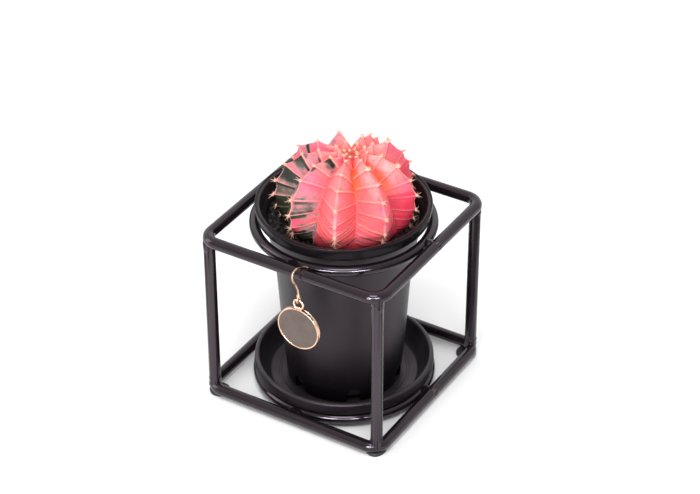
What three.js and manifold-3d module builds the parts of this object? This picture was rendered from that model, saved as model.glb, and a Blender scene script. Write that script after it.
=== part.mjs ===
// A potted gymnocalycium: a pink ribbed cactus in a black plastic pot that stands in its saucer, inside a
// welded cube stand of black round rod, with a small round tag hung over its front top rod by a wire hook.
// Millimetres, +Z up. The stand's feet are at z = 0, and the tag hangs on the side that faces -Y.
// Each piece is one closed solid, and pieces that touch in life keep CLEARANCE between them.

import * as THREE from "three";
import { mergeVertices } from "three/addons/utils/BufferGeometryUtils.js";
import Module from "manifold-3d";

const wasm = await Module();
wasm.setup();

const CLEARANCE = 0.3;
const SEED = 20417;

// Stand: two square loops of bent rod, four posts, two rings welded between the loops' sides, four foot pads.
const LOOP_SIDE = 97; // between the centre lines of opposite sides
const LOOP_CORNER_RADIUS = 7.5; // of the centre line at a bent corner
const ROD_RADIUS = 2.9;
const ROD_SIDES = 8;
const LOWER_PLANE = 4.4; // height of the lower loop's centre line
const UPPER_PLANE = 91.5;
const RING_RADIUS = 42.7;
const RING_ROD_RADIUS = 2.65;
const WELD_REACH = 45.8; // from the stand's axis to the bead that joins a ring to the middle of a side
const WELD_LENGTH = 5;
const WELD_RADIUS = 1.9;
const BEAD_CHAMFER = 0.6;
const BEAD_END_SHARE = 0.7; // the radius of a bead's end face, as a share of the bead's
const SEAM_OFFSET = -9; // butt weld of each loop, on the +X side, from the middle of that side
const SEAM_LENGTH = 2.4;
const SEAM_RADIUS = 3.15;
const COLLAR_RADIUS = 3.35; // weld bead round each end of a post
const COLLAR_HEIGHT = 3.4;
const COLLAR_TAPER = 1.4;
const POST_END = 0.8; // from a loop's centre line to the end of the coped post
const FOOT_RADIUS = 5.2;
const FOOT_HEIGHT = 1.9;
const FOOT_EDGE = [0.3, 0.4]; // width and height of the bevel at the ground
const FOOT_INSET = 1.5; // from a post's axis to its foot's, towards the middle, along X and Y

// Pot: a slender body that flares under a hanging rim band. The outline is [outer radius, height].
const POT_BASE = 2.7;
const POT_BASE_RADIUS = 27.3;
const POT_OUTLINE = [
  [28.2, 3.6],
  [29.0, 11.4],
  [30.9, 36],
  [32.5, 60],
  [34.1, 75],
  [36.2, 86],
  [38.5, 95.4],
];
const RIM_RADIUS = 42.1;
const RIM_WAIST = [41.75, 99.2]; // the band's narrowest place, under the lip
const LIP_RADIUS = 42.4;
const LIP_ROLL = 1.25;
const POT_TOP = 102.8;
const MOUTH_RADIUS = 39.4;
const MOUTH_BEVEL = 0.6;
const POT_WALL = 1.25;
const POT_FLOOR = 5.0;
const POT_FLOOR_RADIUS = 26.2;
const NOTCH_COUNT = 6;
const NOTCH_START = -109; // degrees, the notch to the left of the front
const NOTCH_WIDTH = 7;
const NOTCH_HEIGHT = 8.5;
const NOTCH_CUT = [23.5, 33.5]; // the cutter's inner and outer reach from the pot's axis
const NOTCH_DROP = 2; // how far the cutter reaches below the pot

// Saucer: it sits wedged in the lower ring, its floor just clear of the ground. Walls are [radius, height].
const SAUCER_UNDERSIDE = 1.0;
const SAUCER_OUTER_WALL = [
  [35.8, SAUCER_UNDERSIDE],
  [38.2, 2.4],
  [39.7, 5.2],
  [41.1, 7.3],
  [42.0, 9.4],
];
const SAUCER_LIP = [
  [44.2, 9.4],
  [44.7, 10.4],
  [44.5, 13.1],
  [43.5, 13.9],
  [42.5, 13.6],
  [42.1, 12.7],
];
const SAUCER_INNER_WALL = [
  [40.6, 9.0],
  [38.4, 5.0],
  [36.8, 3.0],
  [35.6, 2.4],
];

// Cactus: one ribbed body on a short root collar. A crest is half an ellipse that stands on edge, and a place
// on it is an angle in degrees: 0 at its furthest from the axis, 90 at its top.
const CACTUS_X = 1.2;
const CACTUS_Y = 0.6;
const CREST_AZIMUTHS = [15, 53, 92, 133, 180, 213, 250, 292, 334];
const CREST_HUB = 12.4; // from the cactus's axis to the ellipse's centre
const CREST_REACH = 21.9;
const CREST_RISE = 23.6;
const CREST_MIDDLE = 107.5; // height of the ellipse's centre
const AREOLE_ANGLES = [95, 73, 50, 28, 7, -13, -31];
const AREOLE_HALF_STEP = 10.5; // degrees from an areole to the low place between two
const UNDERSIDE_ROWS = [-48, -41]; // where the ribs end in the soil, and the next row up
const CROWN_ROWS = [103, 112, 119];
const ROW_SHARE = 0.32; // of the way from an areole to the next, where a row lies between them
const GROOVE_DEPTH = 9.4;
const GROOVE_POWER = 1.15; // above 1 the faces of a rib are hollow
const CROWN_SPAN = 60; // degrees from the apex over which the grooves run out
const CROWN_POWER = 0.7;
const RELIEF_SPAN = 24; // degrees from the apex over which the relief runs out
const CREST_DIP = 1.3; // of the crest between two areoles
const CREST_DIP_SPAN = 0.45; // share of a face that the dip takes
const RIDGE_HEIGHT = 0.55; // of the raised band across a rib's faces at each areole
const RIDGE_HALF_WIDTH = 5.25; // degrees
const RIDGE_FADE = 0.6; // how much of the band's height is gone in the groove
const APEX_RADIUS = 0.4;
const STEPS_PER_FACE = 3;
const COLLAR = { top: 10, shoulder: 88, tip: 4, tipHeight: 70, sunk: 4 };

// Spines: two at each areole, with their feet sunk in the crest. Leans are shares of the way out.
const SPINE_LENGTH = 4.2;
const SPINE_LENGTH_SPREAD = [0.85, 1.1];
const SPINE_RADIUS = 0.38;
const SPINE_SIDES = 3;
const SPINE_ROOT = 1.1; // how deep a spine's foot lies under the crest
const SPINE_ASIDE = 0.2; // from the crest's middle to a spine's foot
const SPINE_OUT = 0.8;
const SPINE_SIDE_LEAN = [0.75, 1.0];
const SPINE_DOWN_LEAN = [-0.15, 0.6];

// Soil: it fills the pot, with lumps where its top shows between the cactus and the pot's wall.
const SOIL_LEVEL = 93.4;
const SOIL_RADIUS = 36.3;
const SOIL_EDGE = [1.8, 0.4]; // width and drop of the soil's sloping edge
const SOIL_HOLE_ROWS = [-49, -41, -31, -22];
const LUMP_COUNT = 20;
const LUMP_SIZE = [1.2, 2.1];
const LUMP_REACH = [30.5, 34.6];
const LUMP_TURN = 0.07; // radians either way
const LUMP_SINK = 0.25; // share of a lump's size that its middle lies under the soil's top

// Tag: a round disc with a raised rim and enamel on both faces, and a bail ring on its edge.
const TAG_X = 6.2;
const TAG_Y = -50.6;
const TAG_Z = 61.8;
const TAG_RADIUS = 11.2;
const TAG_THICKNESS = 2.0;
const TAG_RIM = 0.7;
const TAG_EDGE_GROOVE = 0.25;
const TAG_EDGE_BEVEL = 0.5;
const ENAMEL_THICKNESS = 0.5;
const ENAMEL_GAP = 0.1;
const ENAMEL_RECESS = 0.05; // from the rim's top to the enamel
const BAIL_RADIUS = 2.5;
const BAIL_WIRE = 0.5;
const BAIL_HEIGHT = 13.5; // of the bail's centre above the disc's
const LUG_SIZE = [2.2, 1.1, 1.6];
const LUG_HEIGHT = 11.3;
const TAG_SEGMENTS = 28;

// Hook: its eye stands on the bail's top wire, and the wire's route is measured from the eye's centre.
const HOOK_WIRE = 0.45;
const EYE_RADIUS = 1.3;
const EYE_HEIGHT = TAG_Z + BAIL_HEIGHT + BAIL_RADIUS;
const NECK_RADIUS = 0.95; // of the wire wound round the shank above the eye
const NECK_TAPER = 0.15;
const NECK_LENGTH = 1.6;
const HOOK_SHANK = [
  [0, 0, EYE_RADIUS],
  [0, 0.1, 3.4],
  [0, -0.5, 6.2],
  [0, -2.0, 9.6],
  [0, -4.1, 12.8],
  [0, -5.0, 15.6],
  [0, -3.9, 17.7],
  [0.1, -1.2, 18.4],
];
// Over the rod and into the groove behind it: [x from the tag's middle, y, height over the rod's middle].
const HOOK_TIP = [
  [0.4, -48.2, ROD_RADIUS + HOOK_WIRE + CLEARANCE + 0.1],
  [1.1, -46.3, 3.1],
  [2.2, -45.3, 2.2],
];

const HALF = LOOP_SIDE / 2;
const CORNER_CENTRE = HALF - LOOP_CORNER_RADIUS;
const POST_OFFSET = CORNER_CENTRE + LOOP_CORNER_RADIUS * Math.SQRT1_2;
const TAU = Math.PI * 2;
const APEX_ANGLE = THREE.MathUtils.radToDeg(Math.acos(-CREST_HUB / CREST_REACH));

const MATERIALS = {
  rod: new THREE.MeshStandardMaterial({ color: 0x151316, roughness: 0.42, metalness: 0.3 }),
  foot: new THREE.MeshStandardMaterial({ color: 0x131214, roughness: 0.7 }),
  pot: new THREE.MeshStandardMaterial({ color: 0x1d1b1e, roughness: 0.5 }),
  soil: new THREE.MeshStandardMaterial({ color: 0x2a211d, roughness: 1 }),
  cactus: new THREE.MeshStandardMaterial({ color: 0xe9606d, roughness: 0.55 }),
  gold: new THREE.MeshStandardMaterial({ color: 0xe0ab88, roughness: 0.3, metalness: 1 }),
  enamel: new THREE.MeshStandardMaterial({ color: 0x2f2e30, roughness: 0.4 }),
};

const object = new THREE.Group();
const random = seededRandom(SEED);

// Numbers from 0 to 1, the same on each run.
function seededRandom(seed) {
  let state = seed;
  return () => {
    state = (state + 0x6d2b79f5) | 0;
    let mixed = Math.imul(state ^ (state >>> 15), 1 | state);
    mixed = (mixed + Math.imul(mixed ^ (mixed >>> 7), 61 | mixed)) ^ mixed;
    return ((mixed ^ (mixed >>> 14)) >>> 0) / 4294967296;
  };
}

function between([low, high]) {
  return low + (high - low) * random();
}

function degrees(angle) {
  return (angle * Math.PI) / 180;
}

// A closed geometry as a manifold-3d solid.
function solid(geometry) {
  const bare = new THREE.BufferGeometry();
  const flat = geometry.index ? geometry.toNonIndexed() : geometry;
  bare.setAttribute("position", flat.getAttribute("position").clone());
  const merged = mergeVertices(bare, 1e-3);
  return new wasm.Manifold(
    new wasm.Mesh({
      numProp: 3,
      vertProperties: merged.attributes.position.array,
      triVerts: new Uint32Array(merged.index.array),
    }),
  );
}

function geometryOf(made) {
  const mesh = made.getMesh();
  const geometry = new THREE.BufferGeometry();
  geometry.setAttribute("position", new THREE.BufferAttribute(mesh.vertProperties, 3));
  geometry.setIndex(new THREE.BufferAttribute(mesh.triVerts, 1));
  geometry.computeVertexNormals();
  return geometry;
}

function add(name, geometry, material) {
  const mesh = new THREE.Mesh(geometry, material);
  mesh.name = name;
  object.add(mesh);
  return mesh;
}

function union(parts) {
  return parts.reduce((whole, part) => whole.add(part));
}

// A profile of [radius, height] points turned round the Z axis.
function revolve(profile, segments) {
  const points = profile.map(([radius, height]) => new THREE.Vector2(radius, height));
  return new THREE.LatheGeometry(points, segments).rotateX(Math.PI / 2);
}

// Points of an arc in a profile, between two angles in degrees.
function arc(radius, height, bend, from, to, steps) {
  return Array.from({ length: steps + 1 }, (_, i) => {
    const angle = degrees(from + ((to - from) * i) / steps);
    return [radius + bend * Math.cos(angle), height + bend * Math.sin(angle)];
  });
}

// The centre line of a square loop: stations only where the rod bends, so its straights are one step long.
class RoundedSquare extends THREE.Curve {
  constructor(height, stepsPerCorner) {
    super();
    this.stations = [];
    for (let corner = 0; corner < 4; corner += 1) {
      const turn = corner * (Math.PI / 2);
      const centre = new THREE.Vector2(CORNER_CENTRE, CORNER_CENTRE).rotateAround(new THREE.Vector2(), turn);
      for (let i = 0; i <= stepsPerCorner; i += 1) {
        const angle = turn + ((Math.PI / 2) * i) / stepsPerCorner;
        const x = centre.x + LOOP_CORNER_RADIUS * Math.cos(angle);
        const y = centre.y + LOOP_CORNER_RADIUS * Math.sin(angle);
        const tangent = new THREE.Vector3(-Math.sin(angle), Math.cos(angle), 0);
        this.stations.push({ point: new THREE.Vector3(x, y, height), tangent });
      }
    }
  }

  stationAt(t) {
    return this.stations[Math.round(t * this.stations.length) % this.stations.length];
  }

  getPointAt(t) {
    return this.stationAt(t).point.clone();
  }

  getTangentAt(t) {
    return this.stationAt(t).tangent.clone();
  }
}

function loopTube(height, radius) {
  const path = new RoundedSquare(height, 6);
  return solid(new THREE.TubeGeometry(path, path.stations.length, radius, ROD_SIDES, true));
}

// A bead along Y at x, z, with chamfered ends.
function bead(radius, length, x, y, z) {
  const end = length / 2;
  const face = radius * BEAD_END_SHARE;
  const shoulder = end - BEAD_CHAMFER;
  const profile = [[0, -end], [face, -end], [radius, -shoulder], [radius, shoulder], [face, end], [0, end]];
  return solid(revolve(profile, 6).rotateX(Math.PI / 2).translate(x, y, z));
}

// A loop with its butt weld, grown by a clearance where it is what a neighbour is cut by.
function loop(height, clearance) {
  const seam = bead(SEAM_RADIUS + clearance, SEAM_LENGTH + clearance * 2, HALF, SEAM_OFFSET, height);
  return loopTube(height, ROD_RADIUS + clearance).add(seam);
}

function addLoop(name, height) {
  add(name, geometryOf(loop(height, 0)), MATERIALS.rod);
}

function addRing(name, height) {
  const circle = new THREE.TorusGeometry(RING_RADIUS, RING_ROD_RADIUS, ROD_SIDES, 36);
  const ring = solid(circle.translate(0, 0, height));
  const welds = [0, 1, 2, 3].map((side) =>
    bead(WELD_RADIUS, WELD_LENGTH, WELD_REACH, 0, height).rotate([0, 0, 90 * side]),
  );
  add(name, geometryOf(union([ring, ...welds]).subtract(loop(height, CLEARANCE))), MATERIALS.rod);
}

// A post's ends are coped round the loops' bent corners, with a weld bead round each end.
function addPosts() {
  const low = LOWER_PLANE + POST_END;
  const high = UPPER_PLANE - POST_END;
  const reach = ROD_RADIUS + COLLAR_HEIGHT;
  const profile = [
    [0, low],
    [COLLAR_RADIUS, low],
    [COLLAR_RADIUS, low + reach - COLLAR_TAPER],
    [ROD_RADIUS, low + reach],
    [ROD_RADIUS, high - reach],
    [COLLAR_RADIUS, high - reach + COLLAR_TAPER],
    [COLLAR_RADIUS, high],
    [0, high],
  ];
  const cutters = loop(LOWER_PLANE, CLEARANCE).add(loop(UPPER_PLANE, CLEARANCE));
  for (const [name, x, y] of corners("post")) {
    const post = solid(revolve(profile, ROD_SIDES).translate(x * POST_OFFSET, y * POST_OFFSET, 0));
    add(name, geometryOf(post.subtract(cutters)), MATERIALS.rod);
  }
}

// A foot pad is a disc with a shallow seat for the bent corner above it.
function addFeet() {
  const [bevelWidth, bevelHeight] = FOOT_EDGE;
  const profile = [
    [0, 0],
    [FOOT_RADIUS - bevelWidth, 0],
    [FOOT_RADIUS, bevelHeight],
    [FOOT_RADIUS, FOOT_HEIGHT],
    [0, FOOT_HEIGHT],
  ];
  const offset = POST_OFFSET - FOOT_INSET;
  for (const [name, x, y] of corners("foot")) {
    const pad = solid(revolve(profile, 16).translate(x * offset, y * offset, 0));
    add(name, geometryOf(pad.subtract(loop(LOWER_PLANE, CLEARANCE))), MATERIALS.foot);
  }
}

function corners(piece) {
  return [
    [piece + "_front_left", -1, -1],
    [piece + "_front_right", 1, -1],
    [piece + "_back_right", 1, 1],
    [piece + "_back_left", -1, 1],
  ];
}

function addSaucer() {
  const floor = SAUCER_INNER_WALL.at(-1)[1];
  const profile = [
    [0, SAUCER_UNDERSIDE],
    ...SAUCER_OUTER_WALL,
    ...SAUCER_LIP,
    ...SAUCER_INNER_WALL,
    [0, floor],
  ];
  add("saucer", revolve(profile, 36), MATERIALS.pot);
}

function addPot() {
  const rimBottom = POT_OUTLINE.at(-1)[1];
  const inner = POT_OUTLINE.slice(1).reverse();
  const profile = [
    [0, POT_BASE],
    [POT_BASE_RADIUS, POT_BASE],
    ...POT_OUTLINE,
    [RIM_RADIUS, rimBottom],
    RIM_WAIST,
    ...arc(LIP_RADIUS - LIP_ROLL, POT_TOP - LIP_ROLL, LIP_ROLL, -20, 90, 3),
    [MOUTH_RADIUS, POT_TOP - MOUTH_BEVEL],
    ...inner.map(([radius, height]) => [radius - POT_WALL, height]),
    [POT_FLOOR_RADIUS, POT_FLOOR],
    [0, POT_FLOOR],
  ];
  const azimuths = Array.from({ length: NOTCH_COUNT }, (_, i) => NOTCH_START + (360 * i) / NOTCH_COUNT);
  const notches = azimuths.map(drainNotch);
  add("pot", geometryOf(solid(revolve(profile, 36)).subtract(union(notches))), MATERIALS.pot);
}

// An arched slot through the foot of the pot wall, at an azimuth in degrees.
function drainNotch(azimuth) {
  const half = NOTCH_WIDTH / 2;
  const [from, to] = NOTCH_CUT;
  const outline = new THREE.Shape();
  outline.moveTo(-half, -NOTCH_DROP);
  outline.lineTo(half, -NOTCH_DROP);
  outline.absarc(0, NOTCH_HEIGHT - half, half, 0, Math.PI, false);
  outline.lineTo(-half, -NOTCH_DROP);
  const slot = new THREE.ExtrudeGeometry(outline, { depth: to - from, bevelEnabled: false, curveSegments: 5 });
  slot.rotateX(Math.PI / 2).translate(0, -from, POT_BASE);
  return solid(slot.rotateZ(degrees(azimuth + 90)));
}

// One point of the ribbed body. Across runs from 0 on a crest to 1 in a groove. Swell pushes the surface out,
// for the hole in the soil that fits it.
function ribPoint(angle, azimuth, across, swell) {
  const turn = degrees(angle);
  const normal = new THREE.Vector2(Math.cos(turn) / CREST_REACH, Math.sin(turn) / CREST_RISE).normalize();
  const fromApex = Math.max(0, APEX_ANGLE - angle);
  const groove = GROOVE_DEPTH * Math.min(1, fromApex / CROWN_SPAN) ** CROWN_POWER * across ** GROOVE_POWER;
  const relief = ribRelief(angle, across) * Math.min(1, fromApex / RELIEF_SPAN);
  const out = relief - groove + swell;
  const radius = CREST_HUB + CREST_REACH * Math.cos(turn) + normal.x * out;
  const height = CREST_MIDDLE + CREST_RISE * Math.sin(turn) + normal.y * out;
  const reach = Math.max(radius, APEX_RADIUS);
  return new THREE.Vector3(
    CACTUS_X + reach * Math.cos(azimuth),
    CACTUS_Y + reach * Math.sin(azimuth),
    height,
  );
}

// The crest dips between areoles, and a low band crosses both faces at each areole.
function ribRelief(angle, across) {
  const nearest = Math.min(...AREOLE_ANGLES.map((areole) => Math.abs(areole - angle)));
  const share = Math.min(1, nearest / AREOLE_HALF_STEP);
  const dip = CREST_DIP * share * Math.max(0, 1 - across / CREST_DIP_SPAN);
  const band = RIDGE_HEIGHT * Math.max(0, 1 - nearest / RIDGE_HALF_WIDTH) * (1 - across * RIDGE_FADE);
  return band - dip;
}

// The azimuths across all ribs, with how far each lies from its crest: crests are unevenly spaced.
function ribColumns() {
  const columns = [];
  const count = CREST_AZIMUTHS.length;
  CREST_AZIMUTHS.forEach((crest, i) => {
    const next = CREST_AZIMUTHS[(i + 1) % count] + (i + 1 === count ? 360 : 0);
    for (let step = 0; step < STEPS_PER_FACE * 2; step += 1) {
      const share = step / (STEPS_PER_FACE * 2);
      const across = 1 - Math.abs(1 - share * 2);
      columns.push({ azimuth: degrees(crest + (next - crest) * share), across });
    }
  });
  return columns;
}

// Rows of the body from the base to the apex: one at each areole and two between neighbours.
function ribRows() {
  const rows = [...UNDERSIDE_ROWS];
  const levels = [...AREOLE_ANGLES].reverse();
  levels.forEach((level, i) => {
    rows.push(level);
    const next = levels[i + 1];
    if (next !== undefined) rows.push(level + (next - level) * ROW_SHARE, next - (next - level) * ROW_SHARE);
  });
  return [...rows, ...CROWN_ROWS];
}

// The ribbed body as a closed mesh: rows of columns, a point at the apex and a flat fan under the base.
function ribbedBody(rows, swell) {
  const columns = ribColumns();
  const positions = [];
  const faces = [];
  for (const row of rows) {
    for (const { azimuth, across } of columns) {
      positions.push(...ribPoint(row, azimuth, across, swell).toArray());
    }
  }
  const around = columns.length;
  for (let row = 0; row + 1 < rows.length; row += 1) {
    for (let i = 0; i < around; i += 1) {
      const a = row * around + i;
      const b = row * around + ((i + 1) % around);
      faces.push(a, b, b + around, a, b + around, a + around);
    }
  }
  const base = positions.length / 3;
  const apex = base + 1;
  positions.push(CACTUS_X, CACTUS_Y, ribPoint(rows[0], 0, 0, swell).z - swell);
  positions.push(CACTUS_X, CACTUS_Y, ribPoint(APEX_ANGLE, 0, 0, swell).z);
  const last = (rows.length - 1) * around;
  for (let i = 0; i < around; i += 1) {
    const next = (i + 1) % around;
    faces.push(base, next, i, last + i, last + next, apex);
  }
  const geometry = new THREE.BufferGeometry();
  geometry.setAttribute("position", new THREE.Float32BufferAttribute(positions, 3));
  geometry.setIndex(faces);
  return solid(geometry);
}

// The tapered root collar under the body, wider by swell for its hole in the soil.
function rootCollar(swell) {
  const top = CREST_MIDDLE + COLLAR.sunk;
  const tip = COLLAR.tipHeight - swell;
  const profile = [
    [0, tip],
    [COLLAR.tip + swell, tip],
    [COLLAR.top + swell, COLLAR.shoulder],
    [COLLAR.top + swell, top],
    [0, top],
  ];
  return solid(revolve(profile, 10).translate(CACTUS_X, CACTUS_Y, 0));
}

// The two spines of one areole: they start inside the crest and lean out to its sides.
function areoleSpines(crest, angle) {
  const azimuth = degrees(crest);
  const foot = ribPoint(angle, azimuth, 0, -SPINE_ROOT);
  const out = ribPoint(angle, azimuth, 0, SPINE_LENGTH).sub(foot).normalize();
  const side = new THREE.Vector3(-Math.sin(azimuth), Math.cos(azimuth), 0);
  const down = new THREE.Vector3().crossVectors(out, side);
  return [-1, 1].map((aside) => {
    const direction = out.clone().multiplyScalar(SPINE_OUT);
    direction.addScaledVector(side, aside * between(SPINE_SIDE_LEAN));
    direction.addScaledVector(down, between(SPINE_DOWN_LEAN));
    const start = foot.clone().addScaledVector(side, aside * SPINE_ASIDE);
    return spine(start, direction.normalize(), SPINE_ROOT + SPINE_LENGTH * between(SPINE_LENGTH_SPREAD));
  });
}

function spine(foot, direction, length) {
  const cone = new THREE.ConeGeometry(SPINE_RADIUS, length, SPINE_SIDES).translate(0, length / 2, 0);
  const turn = new THREE.Quaternion().setFromUnitVectors(new THREE.Vector3(0, 1, 0), direction);
  return solid(cone.applyQuaternion(turn).translate(foot.x, foot.y, foot.z));
}

function addCactus() {
  const parts = [ribbedBody(ribRows(), 0), rootCollar(0)];
  for (const crest of CREST_AZIMUTHS) {
    for (const angle of AREOLE_ANGLES.slice(0, -1)) parts.push(...areoleSpines(crest, angle));
  }
  add("cactus", geometryOf(union(parts)), MATERIALS.cactus);
}

// The soil fills the pot: a plug with lumps on its top and a hole shaped to the cactus.
function addSoil() {
  const wall = POT_OUTLINE.slice(1, -1);
  const gap = POT_WALL + CLEARANCE;
  const [edgeWidth, edgeDrop] = SOIL_EDGE;
  const profile = [
    [0, POT_FLOOR + CLEARANCE],
    [POT_FLOOR_RADIUS - CLEARANCE, POT_FLOOR + CLEARANCE],
    ...wall.map(([radius, height]) => [radius - gap, height]),
    [SOIL_RADIUS, SOIL_LEVEL - edgeDrop],
    [SOIL_RADIUS - edgeWidth, SOIL_LEVEL],
    [0, SOIL_LEVEL],
  ];
  const lumps = Array.from({ length: LUMP_COUNT }, (_, i) => soilLump((i / LUMP_COUNT) * TAU));
  const hole = ribbedBody(SOIL_HOLE_ROWS, CLEARANCE).add(rootCollar(CLEARANCE));
  add("soil", geometryOf(union([solid(revolve(profile, 32)), ...lumps]).subtract(hole)), MATERIALS.soil);
}

function soilLump(azimuth) {
  const size = between(LUMP_SIZE);
  const reach = between(LUMP_REACH);
  const lump = new THREE.IcosahedronGeometry(size, 0).rotateX(random() * TAU).rotateZ(random() * TAU);
  const turn = azimuth + between([-LUMP_TURN, LUMP_TURN]);
  return solid(lump.translate(reach * Math.cos(turn), reach * Math.sin(turn), SOIL_LEVEL - size * LUMP_SINK));
}

// The hook: a closed eye, a shank that bulges out in front of the rod and passes over it, and a tip that lies
// in the groove between the rod and the pot ring.
function addHook() {
  const route = [
    ...HOOK_SHANK.map(([x, y, z]) => new THREE.Vector3(TAG_X + x, TAG_Y + y, EYE_HEIGHT + z)),
    ...HOOK_TIP.map(([x, y, z]) => new THREE.Vector3(TAG_X + x, y, UPPER_PLANE + z)),
  ];
  const section = new THREE.Shape().absarc(0, 0, HOOK_WIRE, 0, TAU, false);
  const wire = new THREE.ExtrudeGeometry(section, {
    steps: 28,
    curveSegments: 3,
    extrudePath: new THREE.CatmullRomCurve3(route),
  });
  const eye = new THREE.TorusGeometry(EYE_RADIUS, HOOK_WIRE, 6, 12).rotateY(Math.PI / 2);
  const low = EYE_HEIGHT + EYE_RADIUS;
  const neck = [
    [0, low],
    [NECK_RADIUS - NECK_TAPER, low],
    [NECK_RADIUS, low + NECK_LENGTH / 3],
    [NECK_RADIUS - NECK_TAPER, low + NECK_LENGTH],
    [0, low + NECK_LENGTH],
  ];
  const parts = [solid(wire), solid(eye.translate(TAG_X, TAG_Y, EYE_HEIGHT))];
  parts.push(solid(revolve(neck, 6).translate(TAG_X, TAG_Y, 0)));
  add("hook", geometryOf(union(parts)), MATERIALS.gold);
}

function addTag() {
  const half = TAG_THICKNESS / 2;
  const field = half - ENAMEL_RECESS - ENAMEL_THICKNESS - ENAMEL_GAP;
  const inner = TAG_RADIUS - TAG_RIM;
  const groove = TAG_RADIUS - TAG_EDGE_GROOVE;
  const profile = [
    [0, -field],
    [inner, -field],
    [inner, -half],
    [TAG_RADIUS, -half],
    [groove, -half + TAG_EDGE_BEVEL],
    [groove, half - TAG_EDGE_BEVEL],
    [TAG_RADIUS, half],
    [inner, half],
    [inner, field],
    [0, field],
  ];
  const disc = solid(revolve(profile, TAG_SEGMENTS).rotateX(Math.PI / 2));
  const bail = new THREE.TorusGeometry(BAIL_RADIUS, BAIL_WIRE, 6, 14).rotateX(Math.PI / 2);
  bail.translate(0, 0, BAIL_HEIGHT);
  const lug = new THREE.BoxGeometry(...LUG_SIZE).translate(0, 0, LUG_HEIGHT);
  const whole = union([disc, solid(bail), solid(lug)]).translate([TAG_X, TAG_Y, TAG_Z]);
  add("tag_disc", geometryOf(whole), MATERIALS.gold);
  for (const [name, facing] of [["tag_enamel_front", -1], ["tag_enamel_back", 1]]) {
    const middle = facing * (field + ENAMEL_GAP + ENAMEL_THICKNESS / 2);
    const radius = inner - ENAMEL_GAP;
    const plate = new THREE.CylinderGeometry(radius, radius, ENAMEL_THICKNESS, TAG_SEGMENTS);
    add(name, plate, MATERIALS.enamel).position.set(TAG_X, TAG_Y + middle, TAG_Z);
  }
}

// The object's frame has its origin on the ground, under the middle of its outline.
function centreOnOutline() {
  const outline = new THREE.Box3().setFromObject(object, true);
  const middle = outline.getCenter(new THREE.Vector3());
  object.position.set(-middle.x, -middle.y, 0);
}

addLoop("top_loop", UPPER_PLANE);
addLoop("bottom_loop", LOWER_PLANE);
addRing("pot_ring", UPPER_PLANE);
addRing("saucer_ring", LOWER_PLANE);
addPosts();
addFeet();
addSaucer();
addPot();
addSoil();
addCactus();
addHook();
addTag();
centreOnOutline();

export default object;
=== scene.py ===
import math

import bmesh
import bpy
import numpy as np
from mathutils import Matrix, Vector


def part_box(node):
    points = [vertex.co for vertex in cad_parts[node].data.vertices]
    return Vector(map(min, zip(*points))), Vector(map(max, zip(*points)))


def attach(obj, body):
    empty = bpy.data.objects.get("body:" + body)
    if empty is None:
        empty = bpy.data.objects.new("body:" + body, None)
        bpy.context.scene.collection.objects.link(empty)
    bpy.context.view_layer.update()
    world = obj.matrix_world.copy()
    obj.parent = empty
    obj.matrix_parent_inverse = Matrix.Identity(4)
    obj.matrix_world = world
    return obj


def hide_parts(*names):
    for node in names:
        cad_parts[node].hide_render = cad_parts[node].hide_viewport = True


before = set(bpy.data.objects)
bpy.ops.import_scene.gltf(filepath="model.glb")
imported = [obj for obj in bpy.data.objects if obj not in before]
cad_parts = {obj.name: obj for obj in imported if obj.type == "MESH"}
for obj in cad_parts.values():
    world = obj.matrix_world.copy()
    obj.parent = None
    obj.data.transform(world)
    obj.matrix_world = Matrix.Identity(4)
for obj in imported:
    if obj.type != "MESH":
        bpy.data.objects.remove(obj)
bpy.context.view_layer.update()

# Shapes are made in millimetres from the stand's axis and the ground, and scaled when a mesh is made.
# Angles are degrees, and azimuths turn from +X towards +Y.
MM = 0.001
SEED = 20417

# Camera at the photograph's viewing angle, in metres and degrees.
CAMERA_AIM = (0.0036, 0.0060, 0.0671)
CAMERA_AZIMUTH = 31.22
CAMERA_ELEVATION = 34.70
CAMERA_DISTANCE = 1.0763
CAMERA_LENS = 114.25
CAMERA_SENSOR = 36
CAMERA_SHIFT = (-0.0061, 0.0192)

# Stand of welded round rod.
LOOP_SIDE = 97
LOOP_CORNER = 7.5
CORNER_STEPS = 15
SIDE_STEPS = 12
ROD_RADIUS = 2.9
ROD_SIDES = 32
LOWER_PLANE = 4.4
UPPER_PLANE = 91.5
RING_RADIUS = 42.7
RING_STEPS = 192
RING_ROD_RADIUS = 2.65
RING_ROD_SIDES = 28
# The welded webs that join a ring to its loop: how far each sits from the middle of its side.
WEB_OFFSETS = (2.0, 0, 0, 0)
WEB_HALF_WIDTH = 4.4
WEB_HALF_HEIGHT = 2.5
# Two fine grooves round the right-hand rod, where the loop's ends are joined.
SEAMS = (2.3, 3.5)
SEAM_WIDTH = 0.26
SEAM_DEPTH = 0.3
SEAM_MARGIN = 1.2
SEAM_STEP = 0.1
POST_INSET = 0.4
POST_STEPS = 30
COLLAR_RADIUS = 3.05
COLLAR_HEIGHT = 2.6
COLLAR_RISE = 1.1
COLLAR_STEPS = 24
FOOT_RADIUS = 5.1
FOOT_HEIGHT = 1.9
FOOT_INSET = 1.5
FOOT_SECTION = [
    [0, 0], [FOOT_RADIUS - 0.2, 0, 0.35], [FOOT_RADIUS, FOOT_HEIGHT - 0.4, 0.4],
    [FOOT_RADIUS - 0.9, FOOT_HEIGHT, 0.4], [0, FOOT_HEIGHT],
]

# Lumps on surfaces: how far across they are, and how deep. Each is a sum of waves of several lengths.
WAVE_COUNT = 14
WAVE_SPREAD = (0.45, 1.1)
WEB_LUMPS = (2.2, 0.14)
COLLAR_LUMPS = (2.2, 0.1)
FOOT_LUMPS = (4.5, 0.28)
BODY_LUMPS = (17, 0.35)
PATCH_LUMPS = (9, 0.08)
WOOL_LUMPS = (0.9, 0.12)
SOIL_LUMPS = (3.2, 0.55)
GRAIN_LUMPS = (1.5, 0.28)
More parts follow.
